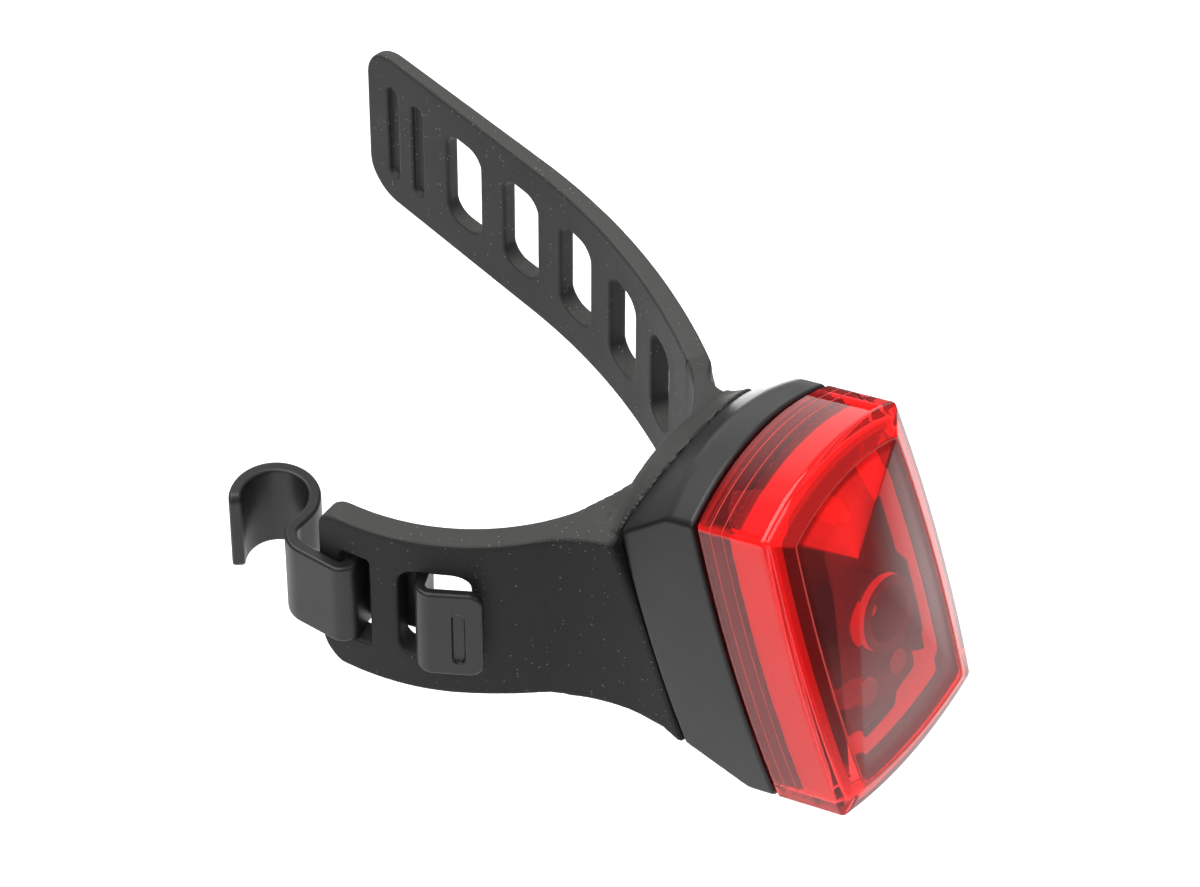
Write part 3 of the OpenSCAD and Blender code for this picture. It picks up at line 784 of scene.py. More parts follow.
RUBBER = MouldedFinish(
    "strap_rubber_skin", (0.012, 0.012, 0.0122), (0.018, 0.0178, 0.0172), 0.58, specular=0.24, grain=7.0,
    bump=0.03, dust=(0.12, 0.11, 0.09), dust_amount=0.7, dust_size=0.16, dust_and_top_light=(0.05, 0.049, 0.046))
# A lighter copy of the strap rubber for the long arm: painted light for the light its faces catch, with a
# little more dust.
ARM_RUBBER_PAINTED_LIGHTER = MouldedFinish(
    "arm_rubber_painted_lighter_skin", (0.02, 0.02, 0.0202), (0.027, 0.0268, 0.026), 0.58, specular=0.24, grain=7.0,
    bump=0.03, dust=(0.15, 0.14, 0.115), dust_amount=0.8, dust_size=0.16, dust_and_top_light=(0.06, 0.059, 0.056))
CASE = MouldedFinish(
    "case_black", (0.004, 0.004, 0.0042), (0.006, 0.006, 0.0062), 0.33, specular=0.42, grain=9.0,
    bump=0.012, dust_and_top_light=(0.02, 0.02, 0.0205))
CLIP = MouldedFinish(
    "clip_black", (0.011, 0.011, 0.011), (0.015, 0.015, 0.015), 0.36, specular=0.42, grain=9.0, bump=0.008)
DIODE = MouldedFinish("diode_resin", (0.9, 0.86, 0.7), (0.95, 0.9, 0.76), 0.2, grain=2.0, bump=0.005)
LAMINATE = MouldedFinish("board_laminate", (0.05, 0.02, 0.02), (0.08, 0.03, 0.03), 0.4, grain=3.0, bump=0.01)
RESIN = MouldedFinish("chip_resin", (0.015, 0.015, 0.016), (0.022, 0.022, 0.023), 0.5, grain=8.0, bump=0.01)
CAN = MouldedFinish("can_metal", (0.3, 0.3, 0.31), (0.35, 0.35, 0.36), 0.3, 1.0, grain=4.0, bump=0.005)
SWITCH = MouldedFinish("switch_grey", (0.1, 0.1, 0.105), (0.13, 0.13, 0.135), 0.45, grain=4.0, bump=0.01)
PLUNGER = MouldedFinish("plunger_red", (0.3, 0.05, 0.04), (0.36, 0.07, 0.05), 0.45, grain=4.0, bump=0.01)
STEEL = MouldedFinish(
    "bright_steel", (0.55, 0.55, 0.57), (0.66, 0.66, 0.68), 0.32, 1.0, grain=5.0, bump=0.006)
BRASS = MouldedFinish("contact_brass", (0.6, 0.44, 0.18), (0.68, 0.5, 0.22), 0.34, 1.0, grain=5.0, bump=0.006)
SEAL = MouldedFinish("seal_rubber", (0.05, 0.05, 0.05), (0.06, 0.06, 0.06), 0.6, grain=6.0, bump=0.02)


def dress(item: Piece, finish: MouldedFinish | RedLensFinish | FrameFinish) -> None:
    """Gives a piece its finish.

    Args:
        item: The piece.
        finish: What it is finished in.
    """
    made = finish.material()
    item.data.materials.clear()
    item.data.materials.append(made)


class Band:
    """An arm of the strap, whose places are told by along, outward and upward sizes."""

    def located(self, p: Array) -> Array:
        """Turns such sizes, one row each, into places in mm, as each arm lays down."""
        raise NotImplementedError

    def plan_at(self, s: float, out: float) -> Array:
        """Place in plan at an along and an outward size."""
        return self.located(np.array([[s, out, 0.0]]))[0, :2]


@dataclass
class LongArm(Band):
    """Far arm of the strap: a tapering slotted band that leaves the saddle and opens out."""

    post_r: float = 15.8
    saddle_turn: float = math.radians(51.8)
    curve_r: float = 80.6
    curve_turn: float = math.radians(26.1)
    length: float = 80.8
    root_s: float = 17.6
    root_t: float = 2.7
    tip_t: float = 1.6
    root_w: float = 25.0
    tip_w: float = 23.8
    tip_drop: float = 0.4
    edge: float = 0.45
    corner: float = 5.0
    slot_s: Sequence[float] = tuple(22.9 + 10.1 * i for i in range(5))
    slot_half: tuple[float, float, float] = (2.95, 6.9, 2.2)
    first_trim: float = 0.8
    slot_edge: float = 0.35
    groove_s: Sequence[float] = (76.1, 71.7)
    groove: tuple[float, float, float] = (0.9, 7.3, 0.8)
    groove_drop: float = 0.5
    groove_depth: float = 0.6
    groove_edge: float = 0.3
    seams: Sequence[float] = (15.0, 22.9, 33.0, 43.1, 53.2)
    knuckles: Sequence[float] = (17.6, 27.95, 38.05, 48.15, 58.25)
    bend: Span = (2.6, 2.4)
    bend_gap: float = 0.3
    mesh: Sequence[float] = (0.35, 0.25, 0.35)
    margin: float = 0.8
    box: Box = ((-0.7, -13.6), (3.9, 13.3))

    def __post_init__(self) -> None:
        """Works out where the arm's curves meet."""
        self.saddle_s = self.post_r * self.saddle_turn
        self.curve_s = self.saddle_s + self.curve_r * self.curve_turn
        self.end_turn = self.saddle_turn + self.curve_turn
        self.curve_mid = (self.post_r - self.curve_r) * self.out_way(self.saddle_turn)
        self.line_start = self.curve_mid + self.curve_r * self.out_way(self.end_turn)

    @staticmethod
    def out_way(turn: float | Array) -> Array:
        """Outward direction in plan at a turn round the post."""
        return np.stack([np.sin(turn), -np.cos(turn)], -1)

    def thickness(self, s: Array) -> Array:
        """Thickness of the arm along its length."""
        return self.root_t + (self.tip_t - self.root_t) * np.clip(
            (s - self.root_s) / (self.length - self.root_s), -0.3, 1)

    def located(self, p: Array) -> Array:
        """Turns along, outward and upward sizes into places in the light's frame.

        Args:
            p: Along, outward and upward sizes, one row each.

        Returns:
            The places in mm.
        """
        s, out = p[:, 0], p[:, 1]
        first = s / self.post_r
        second = self.saddle_turn + (s - self.saddle_s) / self.curve_r
        turn = np.where(s < self.saddle_s, first, np.minimum(second, self.end_turn))
        way = self.out_way(turn)
        on_post = (self.post_r + out)[:, None] * way
        on_curve = self.curve_mid + (self.curve_r + out)[:, None] * way
        onward = np.array([math.cos(self.end_turn), math.sin(self.end_turn)])
        run = np.maximum(s - self.curve_s, 0)[:, None] * onward
        plan = np.where((s < self.saddle_s)[:, None], on_post, on_curve + run)
        return np.column_stack([plan, p[:, 2]])

    def unrolled(self, p: Array) -> tuple[Array, Array]:
        """Along and outward sizes of places near the arm's root.

        Args:
            p: Places in mm, one row each.

        Returns:
            Along sizes and outward sizes.
        """
        on_post = np.arctan2(p[:, 0], -p[:, 1])
        rel = p[:, :2] - self.curve_mid
        on_curve = np.arctan2(rel[:, 0], -rel[:, 1])
        curved = on_curve > self.saddle_turn
        bend_s = self.saddle_s + (on_curve - self.saddle_turn) * self.curve_r
        s = np.where(curved, bend_s, on_post * self.post_r)
        out = np.where(curved, np.hypot(rel[:, 0], rel[:, 1]) - self.curve_r,
                       np.hypot(p[:, 0], p[:, 1]) - self.post_r)
        return s, out

    def flank(self, s: Array, z: Array) -> Array:
        """Distance to the arm's side view, with its round tip.

        Args:
            s: Along sizes.
            z: Heights.

        Returns:
            Distances in mm, negative inside.
        """
        share = np.clip((s - self.saddle_s) / (self.length - self.saddle_s), 0, 1)
        half = (self.root_w + (self.tip_w - self.root_w) * share) / 2
        up = z + self.tip_drop * share
        return round_box(s - self.length + FAR, up, FAR, half, self.corner)

    def form(self, p: Array) -> Array:
        """Distance to the arm in along, outward and upward sizes.

        Args:
            p: Along, outward and upward sizes, one row each.

        Returns:
            Distances in mm, negative inside.
        """
        s, out, z = p.T
        half = self.thickness(s) / 2
        d = round_max(np.abs(out - half) - half, self.flank(s, z), self.edge)
        for at in self.slot_s:
            half, tall, r = self.slot_half
            trim = self.first_trim if at == self.slot_s[0] else 0.0
            d = round_max(d, -round_box(s - at - trim / 2, z, half - trim / 2, tall, r), self.slot_edge)
        for at in self.groove_s:
            trench = round_box(s - at, z + self.groove_drop, *self.groove)
            d = round_max(d, -np.maximum(trench, out - self.groove_depth), self.groove_edge)
        return d

    def build(self) -> list[Piece]:
        """Makes the arm's skins, cut apart at its seams.

        Returns:
            The skins from the root to the tip.
        """
        ends = list(self.seams[1:]) + [self.length]
        skins = []
        for i, (start, end) in enumerate(zip(self.seams, ends)):
            last = i == len(self.seams) - 1
            cuts = [Cut((start, 0, 0), (-1, 0, 0))]
            if not last:
                cuts.append(Cut((end, 0, 0), (1, 0, 0)))
            lo, hi = (start - self.margin, *self.box[0]), (end + self.margin, *self.box[1])
            skin = Skinner(self.mesh).piece(
                f"strap_long_skin_{i + 1}", self.form, lo, hi, self.located, cuts)
            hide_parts(f"strap_long_arm_{i + 1}")
            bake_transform(skin)
            dress(skin, ARM_RUBBER_PAINTED_LIGHTER)
            LOG.info("long arm skin %d from %.1f to %.1f mm", i + 1, start, end)
            skins.append(skin)
        return skins


@dataclass
class ShortArm(Band):
    """Near arm of the strap: a plain curved band with the two slots of the clip."""

    centre_y: float = 10.7
    inner_r: float = 26.5
    thick: float = 3.1
    length: float = 42.0
    wide: tuple[float, float, float, float] = (29.25, 3.75, 7.15, 2.2)
    narrow: tuple[float, float, float, float] = (37.7, 1.6, 7.15, 0.6)
    slot_rise: float = 0.35
    slot_edge: float = 0.35
    half_h: float = 12.5
    end_split: float = 2.5
    end_r: Span = (2.6, 5.0)
    end_reach: float = 9.0
    end_lift: float = 0.7
    edge: float = 0.5
    seam: float = 19.0
    knuckle: float = 20.6
    bend: float = 2.6
    bend_gap: float = 0.2
    mesh: Sequence[float] = (0.35, 0.25, 0.35)
    margin: float = 0.8
    box: Box = ((-0.8, -16), (4.0, 13.4))
    flare: Sequence[Span] = ((-4, 0.1), (-10, 0.1), (-14.5, 2), (-25, 2.9), (-29.5, 5.2))
    low_end: Span = (11.1, -11.9)

    def __post_init__(self) -> None:
        """Draws the lower edge that the arm and the saddle share, seen from the side."""
        low = [np.array([y, -self.half_h - d]) for y, d in self.flare]
        curve = bent(low[2], low[1], low[0])
        self.low_edge = np.array([low[4], low[3], *curve, self.low_end])

    def bottom(self, y: Array) -> Array:
        """Height of the strap's lower edge at a depth in the light's frame."""
        return np.interp(y, self.low_edge[:, 0], self.low_edge[:, 1])

    def located(self, p: Array) -> Array:
        """Turns along, outward and upward sizes into places in the light's frame.

        Args:
            p: Along, outward and upward sizes, one row each.

        Returns:
            The places in mm.
        """
        turn = p[:, 0] / self.inner_r
        r = self.inner_r + p[:, 1]
        return np.column_stack([-r * np.sin(turn), self.centre_y - r * np.cos(turn), p[:, 2]])

    def unrolled(self, p: Array) -> tuple[Array, Array]:
        """Along and outward sizes of places near the arm."""
        rel_y = p[:, 1] - self.centre_y
        return np.arctan2(-p[:, 0], -rel_y) * self.inner_r, np.hypot(p[:, 0], rel_y) - self.inner_r

    def form(self, p: Array) -> Array:
        """Distance to the arm in along, outward and upward sizes.

        Args:
            p: Along, outward and upward sizes, one row each.

        Returns:
            Distances in mm, negative inside.
        """
        s, out, z = p.T
        y = self.located(p)[:, 1]
        low = self.bottom(y)
        tall = np.maximum(z - self.half_h, low - z)
        over = s - self.length + FAR
        upper = round_box(over, z - self.end_split, FAR, self.half_h - self.end_split, self.end_r[0])
        lower = round_box(over, z + self.end_lift * (low + self.half_h), FAR, self.half_h, self.end_r[1])
        ends = np.minimum(np.where(z > self.end_split, upper, lower), CAP)
        end = np.where(s > self.length - self.end_reach, ends, tall)
        side = np.maximum(np.maximum(end, tall), s - self.length)
        d = round_max(np.abs(out - self.thick / 2) - self.thick / 2, side, self.edge)
        for at, half, tall_half, r in (self.wide, self.narrow):
            d = round_max(d, -round_box(s - at, z - self.slot_rise, half, tall_half, r), self.slot_edge)
        return d

    def build(self) -> Piece:
        """Makes the arm's skin, cut at its root.

        Returns:
            The skin.
        """
        lo, hi = (self.seam - self.margin, *self.box[0]), (self.length + self.margin, *self.box[1])
        skin = Skinner(self.mesh).piece(
            "strap_short_skin", self.form, lo, hi, self.located, [Cut((self.seam, 0, 0), (-1, 0, 0))])
        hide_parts("strap_short_arm")
        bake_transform(skin)
        dress(skin, RUBBER)
        LOG.info("short arm skin")
        return skin


@dataclass
class HeadFrame:
    """Axes of the leaning head: x across, y up, z out of the lens, and its bowed outline."""

    place: tuple[float, float, float] = (0, -43.4, 4)
    lean: float = math.radians(17.4)
    wide: float = 26.0
    tall: float = 40.0
    side_bow: float = 1.0
    top_bow: float = 3.0
    bottom_bow: float = 1.7
    band_z: float = -13.4
    back_z: float = -21.0
    top_fall: float = 3.8
    bottom_rise: float = 5.0
    wrap_z: float = -17.8
    wrap_fall: float = 3.2

    def __post_init__(self) -> None:
        """Works out the radii and centres of the bowed sides."""
        self.top_r, self.bottom_r = (self.bowed(self.wide, b) for b in (self.top_bow, self.bottom_bow))
        self.side_r = self.bowed(self.tall, self.side_bow)
        self.top_c = self.top_r - self.tall / 2 - self.top_bow
        self.bottom_c = self.bottom_r - self.tall / 2 - self.bottom_bow
        self.side_c = self.side_r - self.wide / 2 - self.side_bow
        up = (0, math.sin(self.lean), math.cos(self.lean))
        out = (0, -math.cos(self.lean), math.sin(self.lean))
        self.axes = np.array([(1, 0, 0), up, out])

    @staticmethod
    def bowed(wide: float, bow: float) -> float:
        """Radius of a side that bows out over its width."""
        return (wide * wide / 4 + bow * bow) / (2 * bow)

    def located(self, p: Array) -> Array:
        """Turns places in the head's axes into the light's frame."""
        return np.asarray(p) @ self.axes + np.array(self.place)

    def local(self, p: Array) -> Array:
        """Turns places in the light's frame into the head's axes."""
        return (p - np.array(self.place)) @ self.axes.T

    def outline(self, x: Array, y: Array, inset: float = 0, fall: float = 0, rise: float = 0,
                r: float = 0.5) -> Array:
        """Distance to the bowed outline, drawn in by inset, its top and bottom also by fall and rise.

        Args:
            x: Places across the head.
            y: Places up the head.
            inset: How far the whole outline is drawn in.
            fall: How far its top comes down.
            rise: How far its bottom comes up.
            r: Radius of its corners.

        Returns:
            Distances in mm, negative inside.
        """
        caps = np.hypot(x, y + self.top_c + fall) - self.top_r + inset
        feet = np.hypot(x, y - self.bottom_c - rise) - self.bottom_r + inset
        flanks = np.maximum(np.hypot(x - self.side_c, y), np.hypot(x + self.side_c, y)) - self.side_r + inset
        return round_max(np.maximum(caps, feet), flanks, r)

    def wrap(self, x: Array) -> Array:
        """Level up to which the rubber covers the case's roof."""
        return self.wrap_z - self.wrap_fall * (x / (self.wide / 2)) ** 2

    def roof(self, p: Array, side: Side, inset: float = 0) -> Array:
        """Distance to the case's top or bottom where it falls in towards the back.

        Args:
            p: Places in the head's axes, one row each.
            side: Top or bottom.
            inset: How far the surface is drawn in.

        Returns:
            Distances in mm, negative inside.
        """
        r, fall = (self.top_r, self.top_fall) if side is Side.TOP else (self.bottom_r, self.bottom_rise)
        tilt = math.atan(fall / (self.band_z - self.back_z))
        reach = math.sqrt(r * r - self.wide ** 2 / 4) / math.cos(tilt)
        y = p[:, 1] - side.value * (self.tall / 2 - reach)
        z = p[:, 2] - self.band_z
        lifted = y * math.cos(tilt) - side.value * z * math.sin(tilt)
        return np.hypot(p[:, 0], lifted) - r + inset


@dataclass
class Saddle:
    """Rubber body behind the head, with the bed for the post and the roots of both arms."""

    head: HeadFrame
    long: LongArm
    short: ShortArm
    half_w: float = 13.6
    short_run: float = 12.0
    long_run: float = 1.5
    short_s: float = 18.8
    long_s: float = 9.5
    cheek_turn: float = math.radians(59)
    cheek_half: float = 8.0
    joint_gap: float = 0.25
    near: Span = (12.0, 13.0)
    far: Span = (10.0, 11.0)
    shoulder: tuple[float, float, float] = (4.0, -15.8, -9.0)
    cover: tuple[float, float, float] = (1.1, 0.12, -23.5)
    lip: float = 0.35
    tuck: float = 0.05
    lap: float = 0.5
    post_edge: float = 0.25
    arm_edge: float = 0.5
    block_edge: float = 0.4
    wide_edge: float = 0.6
    arm_fillet: float = 1.0
    cover_fillet: float = 0.4
    box: Box = ((-22, -46, -20), (18.5, -4, 20))
    hollow: tuple[float, float, float] = (3.5, 1.2, 3.0)

    def __post_init__(self) -> None:
        """Draws the plan of the body with its fillets to the arms."""
        front = self.head.place[1]
        short_at, long_at = self.short.plan_at, self.long.plan_at

        def corner(p: Array, turn: float) -> Array:
            """Where the tangent at a point of an arm meets the body's flank."""
            out = abs(p[0]) - self.half_w
            return np.array([math.copysign(self.half_w, p[0]), p[1] - out * math.tan(turn)])

        near, far = short_at(self.short_s, self.short.thick), long_at(self.long_s, self.long.root_t)
        near_c = corner(near, self.short_s / self.short.inner_r)
        far_c = corner(far, self.long_s / self.long.post_r)
        inner = [short_at(s, self.lap) for s in np.linspace(self.short_s, 0, 15)]
        inner += [long_at(s, self.lap) for s in np.linspace(self.lap, self.long_s, 12)]
        self.plan = np.array([
            [-self.half_w, front], *bent(near_c - [0, self.short_run], near_c, near), *inner,
            *bent(far, far_c, far_c - [0, self.long_run]), [self.half_w, front]])

    def form(self, p: Array) -> Array:
        """Distance to the rubber body in the light's frame.

        Args:
            p: Places in mm, one row each.

        Returns:
            Distances in mm, negative inside.
        """
        x, y, z = p.T
        low = self.short.bottom(y)
        s1, o1 = self.short.unrolled(p)
        s2, o2 = self.long.unrolled(p)
        near_band = np.maximum(-o1, o1 - self.short.thick)
        near_band = np.maximum(near_band, np.abs(s1 - self.near[0]) - self.near[1])
        half = self.long.thickness(s2) / 2
        far_band = np.maximum(np.abs(o2 - half) - half, np.abs(s2 - self.far[0]) - self.far[1])
        plan = np.minimum(np.minimum(polygon_distance(p[:, :2], self.plan), near_band), far_band)
        tall = np.maximum(z - self.short.half_h, low - z)
        arms = round_max(plan, tall, self.arm_edge)
        h = self.head.local(p)
        block = self.head.outline(h[:, 0], h[:, 1], 0, self.head.top_fall, self.head.bottom_rise)
        block = round_max(block, np.maximum(np.abs(x) - self.half_w, low - z), self.block_edge)
        slope, start, end = self.shoulder
        shoulder = np.maximum(z - self.short.half_h - slope * np.maximum(start - y, 0), y - end)
        block = round_max(block, shoulder, self.wide_edge)
        d = round_min(arms, block, self.arm_fillet)
        d = np.maximum(d, np.where(x < 0, -o1, -CAP))
        ahead = y * math.sin(self.cheek_turn) - x * math.cos(self.cheek_turn)
        wedge = np.maximum(np.maximum(ahead, x), o1 - self.lap)
        cheek = round_max(wedge, np.abs(z) - self.cheek_half, self.wide_edge)
        d = np.minimum(d, cheek)
        d = round_max(d, self.long.post_r - np.hypot(x, y), self.post_edge)
        d = round_max(d, h[:, 2] - self.head.back_z + self.joint_gap, self.wide_edge)
        roof = self.head.roof(h, Side.TOP)
        deep, gap, back = self.cover
        cover = np.maximum(np.maximum(-deep - roof, h[:, 2] - self.head.wrap(x) + gap), back - h[:, 2])
        skin = np.maximum(roof - self.lip, self.head.outline(h[:, 0], h[:, 1], self.tuck))
        cover = round_max(cover, skin, self.lip)
        d = round_min(d, cover, self.cover_fillet)
        r, aside, behind = self.hollow
        hollow = r - np.hypot(h[:, 0] - self.half_w - aside, h[:, 2] - self.head.back_z + behind)
        return round_max(d, hollow, self.arm_edge)

    def build(self) -> Piece:
        """Makes the body's skin, trimmed where the arms' skins begin.

        Returns:
            The skin.
        """
        at_long = self.long.located(np.array([[self.long.seams[0], 0, 0]]))[0]
        turn = self.long.saddle_turn + (self.long.seams[0] - self.long.saddle_s) / self.long.curve_r
        at_short = self.short.located(np.array([[self.short.seam, 0, 0]]))[0]
        swing = self.short.seam / self.short.inner_r
        skin = Skinner().piece(
            "strap_saddle_skin", self.form, *self.box, None,
            [Cut(at_long, (math.cos(turn), math.sin(turn), 0)),
             Cut(at_short, (-math.cos(swing), math.sin(swing), 0))])
        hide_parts("strap_saddle")
        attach(skin, Body.HEAD.value)
        dress(skin, RUBBER)
        LOG.info("saddle skin")
        return skin


@dataclass
class HookClip:
    """Plastic clip woven through the short arm: tab, weave, outer run and open hook."""

    short: ShortArm
    thick: float = 1.5
    tab_thick: float = 1.2
    bend: float = 1.3
    hook_r: float = 4.5
    hook_turn: float = math.radians(222)
    tab_end: float = 6.6
    tab_blend: float = 4.0
    tab: float = 6.2
    tab_out: float = 4.7
    run_out: float = 4.15
    under_out: float = -1.05
    wide_s: float = 30.6
    narrow_s: float = 38.25
    hook_at: Span = (4.75, 8.9)
    neck_out: float = 0.1
    top_line: Box = ((0, 17, 22, 30, 33, 60), (5.6, 5.6, 6.0, 6.0, 6.5, 6.5))
    low_line: Box = ((0, 6, 9, 60), (-7.0, -7.0, -6.4, -6.3))
    corner_s: Sequence[float] = (0, 5, 8)
    corner_r: Sequence[float] = (1.6, 1.6, 0.5, 0.5, 1.0)
    tip: float = 4.0
    dimple_at: Span = (2.75, -0.8)
    dimple: tuple[float, float, float] = (0.7, 4.05, 0.65)
    dimple_floor: float = 0.25
    dimple_edge: float = 0.15
    edge: float = 0.35
    probe: float = 0.12
    mesh: Sequence[float] = (0.28, 0.22, 0.28)
    margin: float = 0.8
    box: Box = ((-1.3, -8), (1.3, 7.2))

    def __post_init__(self) -> None:
        """Draws the clip's middle line in plan."""
        at = self.short.plan_at
        end = at(self.short.length, self.run_out)
        middle = end + np.array(self.hook_at)
        neck = middle - [0, self.hook_r]
        corners = [at(self.wide_s - self.tab, self.tab_out), at(self.wide_s, self.tab_out),
                   at(self.wide_s, self.under_out), at(self.narrow_s, self.under_out),
                   at(self.narrow_s, self.run_out), np.array([end[0] + self.neck_out, neck[1]]), neck]
        line = [corners[0]]
        for i in range(1, 6):
            line += list(self.rounded(*corners[i - 1:i + 2], 2 * self.bend if i == 5 else self.bend))
        for turn in np.linspace(-math.pi / 2, -math.pi / 2 + self.hook_turn, 60):
            line.append(middle + self.hook_r * np.array([math.cos(turn), math.sin(turn)]))
        line = np.array(line)
        gaps = np.linalg.norm(np.diff(line, axis=0), axis=1)
        keep = np.concatenate([[True], gaps > 1e-6])
        self.line = line[keep]
        self.along = np.concatenate([[0], np.cumsum(np.linalg.norm(np.diff(self.line, axis=0), axis=1))])
        self.length = float(self.along[-1])

    @staticmethod
    def rounded(a: Array, b: Array, c: Array, r: float, n: int = 12) -> Array:
        """Arc that rounds the corner b between a and c.

        Args:
            a: Point before the corner.
            b: The corner.
            c: Point after it.
            r: Radius of the arc.
            n: Number of its steps.

        Returns:
            Points of the arc.
        """
        u, v = (a - b) / np.linalg.norm(a - b), (c - b) / np.linalg.norm(c - b)
        half = math.acos(float(u @ v)) / 2
        m = b + (u + v) / np.linalg.norm(u + v) * r / math.sin(half)
        p, q = b + u * r / math.tan(half) - m, b + v * r / math.tan(half) - m
        t = np.linspace(0, 1, n + 1)[:, None]
        rays = (1 - t) * p + t * q
        return m + r * rays / np.linalg.norm(rays, axis=1)[:, None]

    def located(self, p: Array) -> Array:
        """Turns along, sideways and upward sizes into places in the light's frame.

        Args:
            p: Along, sideways and upward sizes, one row each.

        Returns:
            The places in mm.
        """
        s = np.clip(p[:, 0], 0, self.length)
        over = p[:, 0] - s
        x, y = (np.interp(s, self.along, row) for row in self.line.T)
        ahead, behind = np.minimum(s + self.probe, self.length), np.maximum(s - self.probe, 0)
        tx, ty = (np.interp(ahead, self.along, row) - np.interp(behind, self.along, row)
                  for row in self.line.T)
        size = np.hypot(tx, ty)
        tx, ty = tx / size, ty / size
        return np.column_stack([x + tx * over - ty * p[:, 1], y + ty * over + tx * p[:, 1], p[:, 2]])

    def form(self, p: Array) -> Array:
        """Distance to the clip in along, sideways and upward sizes.

        Args:
            p: Along, sideways and upward sizes, one row each.

        Returns:
            Distances in mm, negative inside.
        """
        s, off, z = p.T
        share = np.clip((s - self.tab_end) / self.tab_blend, 0, 1)
        half = (self.tab_thick + (self.thick - self.tab_thick) * share) / 2
        tail = self.length - s
        top, low = np.interp(tail, *self.top_line), np.interp(s, *self.low_line)
        mid, tall = (top + low) / 2, (top - low) / 2
        r = np.interp(s, [*self.corner_s, self.length - self.tip, self.length], self.corner_r)
        side = round_box(s - self.length / 2, z - mid, self.length / 2, tall, r)
        d = round_max(np.abs(off) - half, side, self.edge)
        at, rise = self.dimple_at
        dimple = np.maximum(round_box(s - at, z - rise, *self.dimple), self.dimple_floor - np.abs(off))
        return np.where(off > 0, round_max(d, -dimple, self.dimple_edge), d)

    def build(self) -> Piece:
        """Makes the clip.

        Returns:
            The clip.
        """
        lo, hi = (-self.margin, *self.box[0]), (self.length + self.margin, *self.box[1])
        clip = Skinner(self.mesh).piece("hook_clip_skin", self.form, lo, hi, self.located)
        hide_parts("hook_clip")
        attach(clip, Body.CLIP.value)
        dress(clip, CLIP)
        LOG.info("hook clip, %.1f mm long", self.length)
        return clip


@dataclass
class Case:
    """Black case behind the lens, with the lip that the lens rides on."""

    head: HeadFrame
    wall: float = 1.8
    rim_z: float = -9.9
    lip_top: float = -6.3
    lip_inset: Span = (1.75, 3.55)
    recess: Span = (1.2, 0.9)
    edge: float = 0.4
    roof_edge: float = 0.3
    recess_edge: float = 0.15
    hollow_edge: float = 0.2
    mesh: Sequence[float] = (0.38, 0.38, 0.38)
    box: Box = ((-15.2, -23, -22), (15.2, 24.5, -5.4))

    def body(self, p: Array, z0: float, z1: float, inset: float) -> Array:
        """Distance to the case's body between two levels, drawn in by inset.

        Args:
            p: Places in the head's axes, one row each.
            z0: Lower level.
            z1: Upper level.
            inset: How far it is drawn in.

        Returns:
            Distances in mm, negative inside.
        """
        x, y, z = p.T
        d = self.head.outline(x, y, inset)
        for side in Side:
            d = round_max(d, self.head.roof(p, side, inset), self.roof_edge)
        return round_max(d, np.maximum(z0 - z, z - z1), self.edge)

    def form(self, p: Array) -> Array:
        """Distance to the case in the head's axes.

        Args:
            p: Places in the head's axes, one row each.

        Returns:
            Distances in mm, negative inside.
        """
        x, y, z = p.T
        d = self.body(p, self.head.back_z, self.rim_z, 0)
        outer, inner = (self.head.outline(x, y, inset) for inset in self.lip_inset)
        lip = np.maximum(np.maximum(outer, -inner), np.maximum(self.rim_z - self.wall - z, z - self.lip_top))
        d = np.minimum(d, lip)
        deep, back = self.recess
        recess = np.maximum(-deep - self.head.roof(p, Side.TOP), z - self.head.wrap(x) + back)
        d = round_max(d, -recess, self.recess_edge)
        hollow = np.minimum(self.body(p, self.head.back_z + self.wall, self.rim_z - self.wall, self.wall),
                            np.maximum(inner, np.maximum(self.rim_z - 2 * self.wall - z, z)))
        return round_max(d, -hollow, self.hollow_edge)

    def build(self) -> Piece:
        """Makes the case.

        Returns:
            The case.
        """
        case = Skinner(self.mesh).piece("case_shell", self.form, *self.box, self.head.located)
        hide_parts("housing")
        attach(case, Body.HEAD.value)
        dress(case, CASE)
        LOG.info("case")
        return case


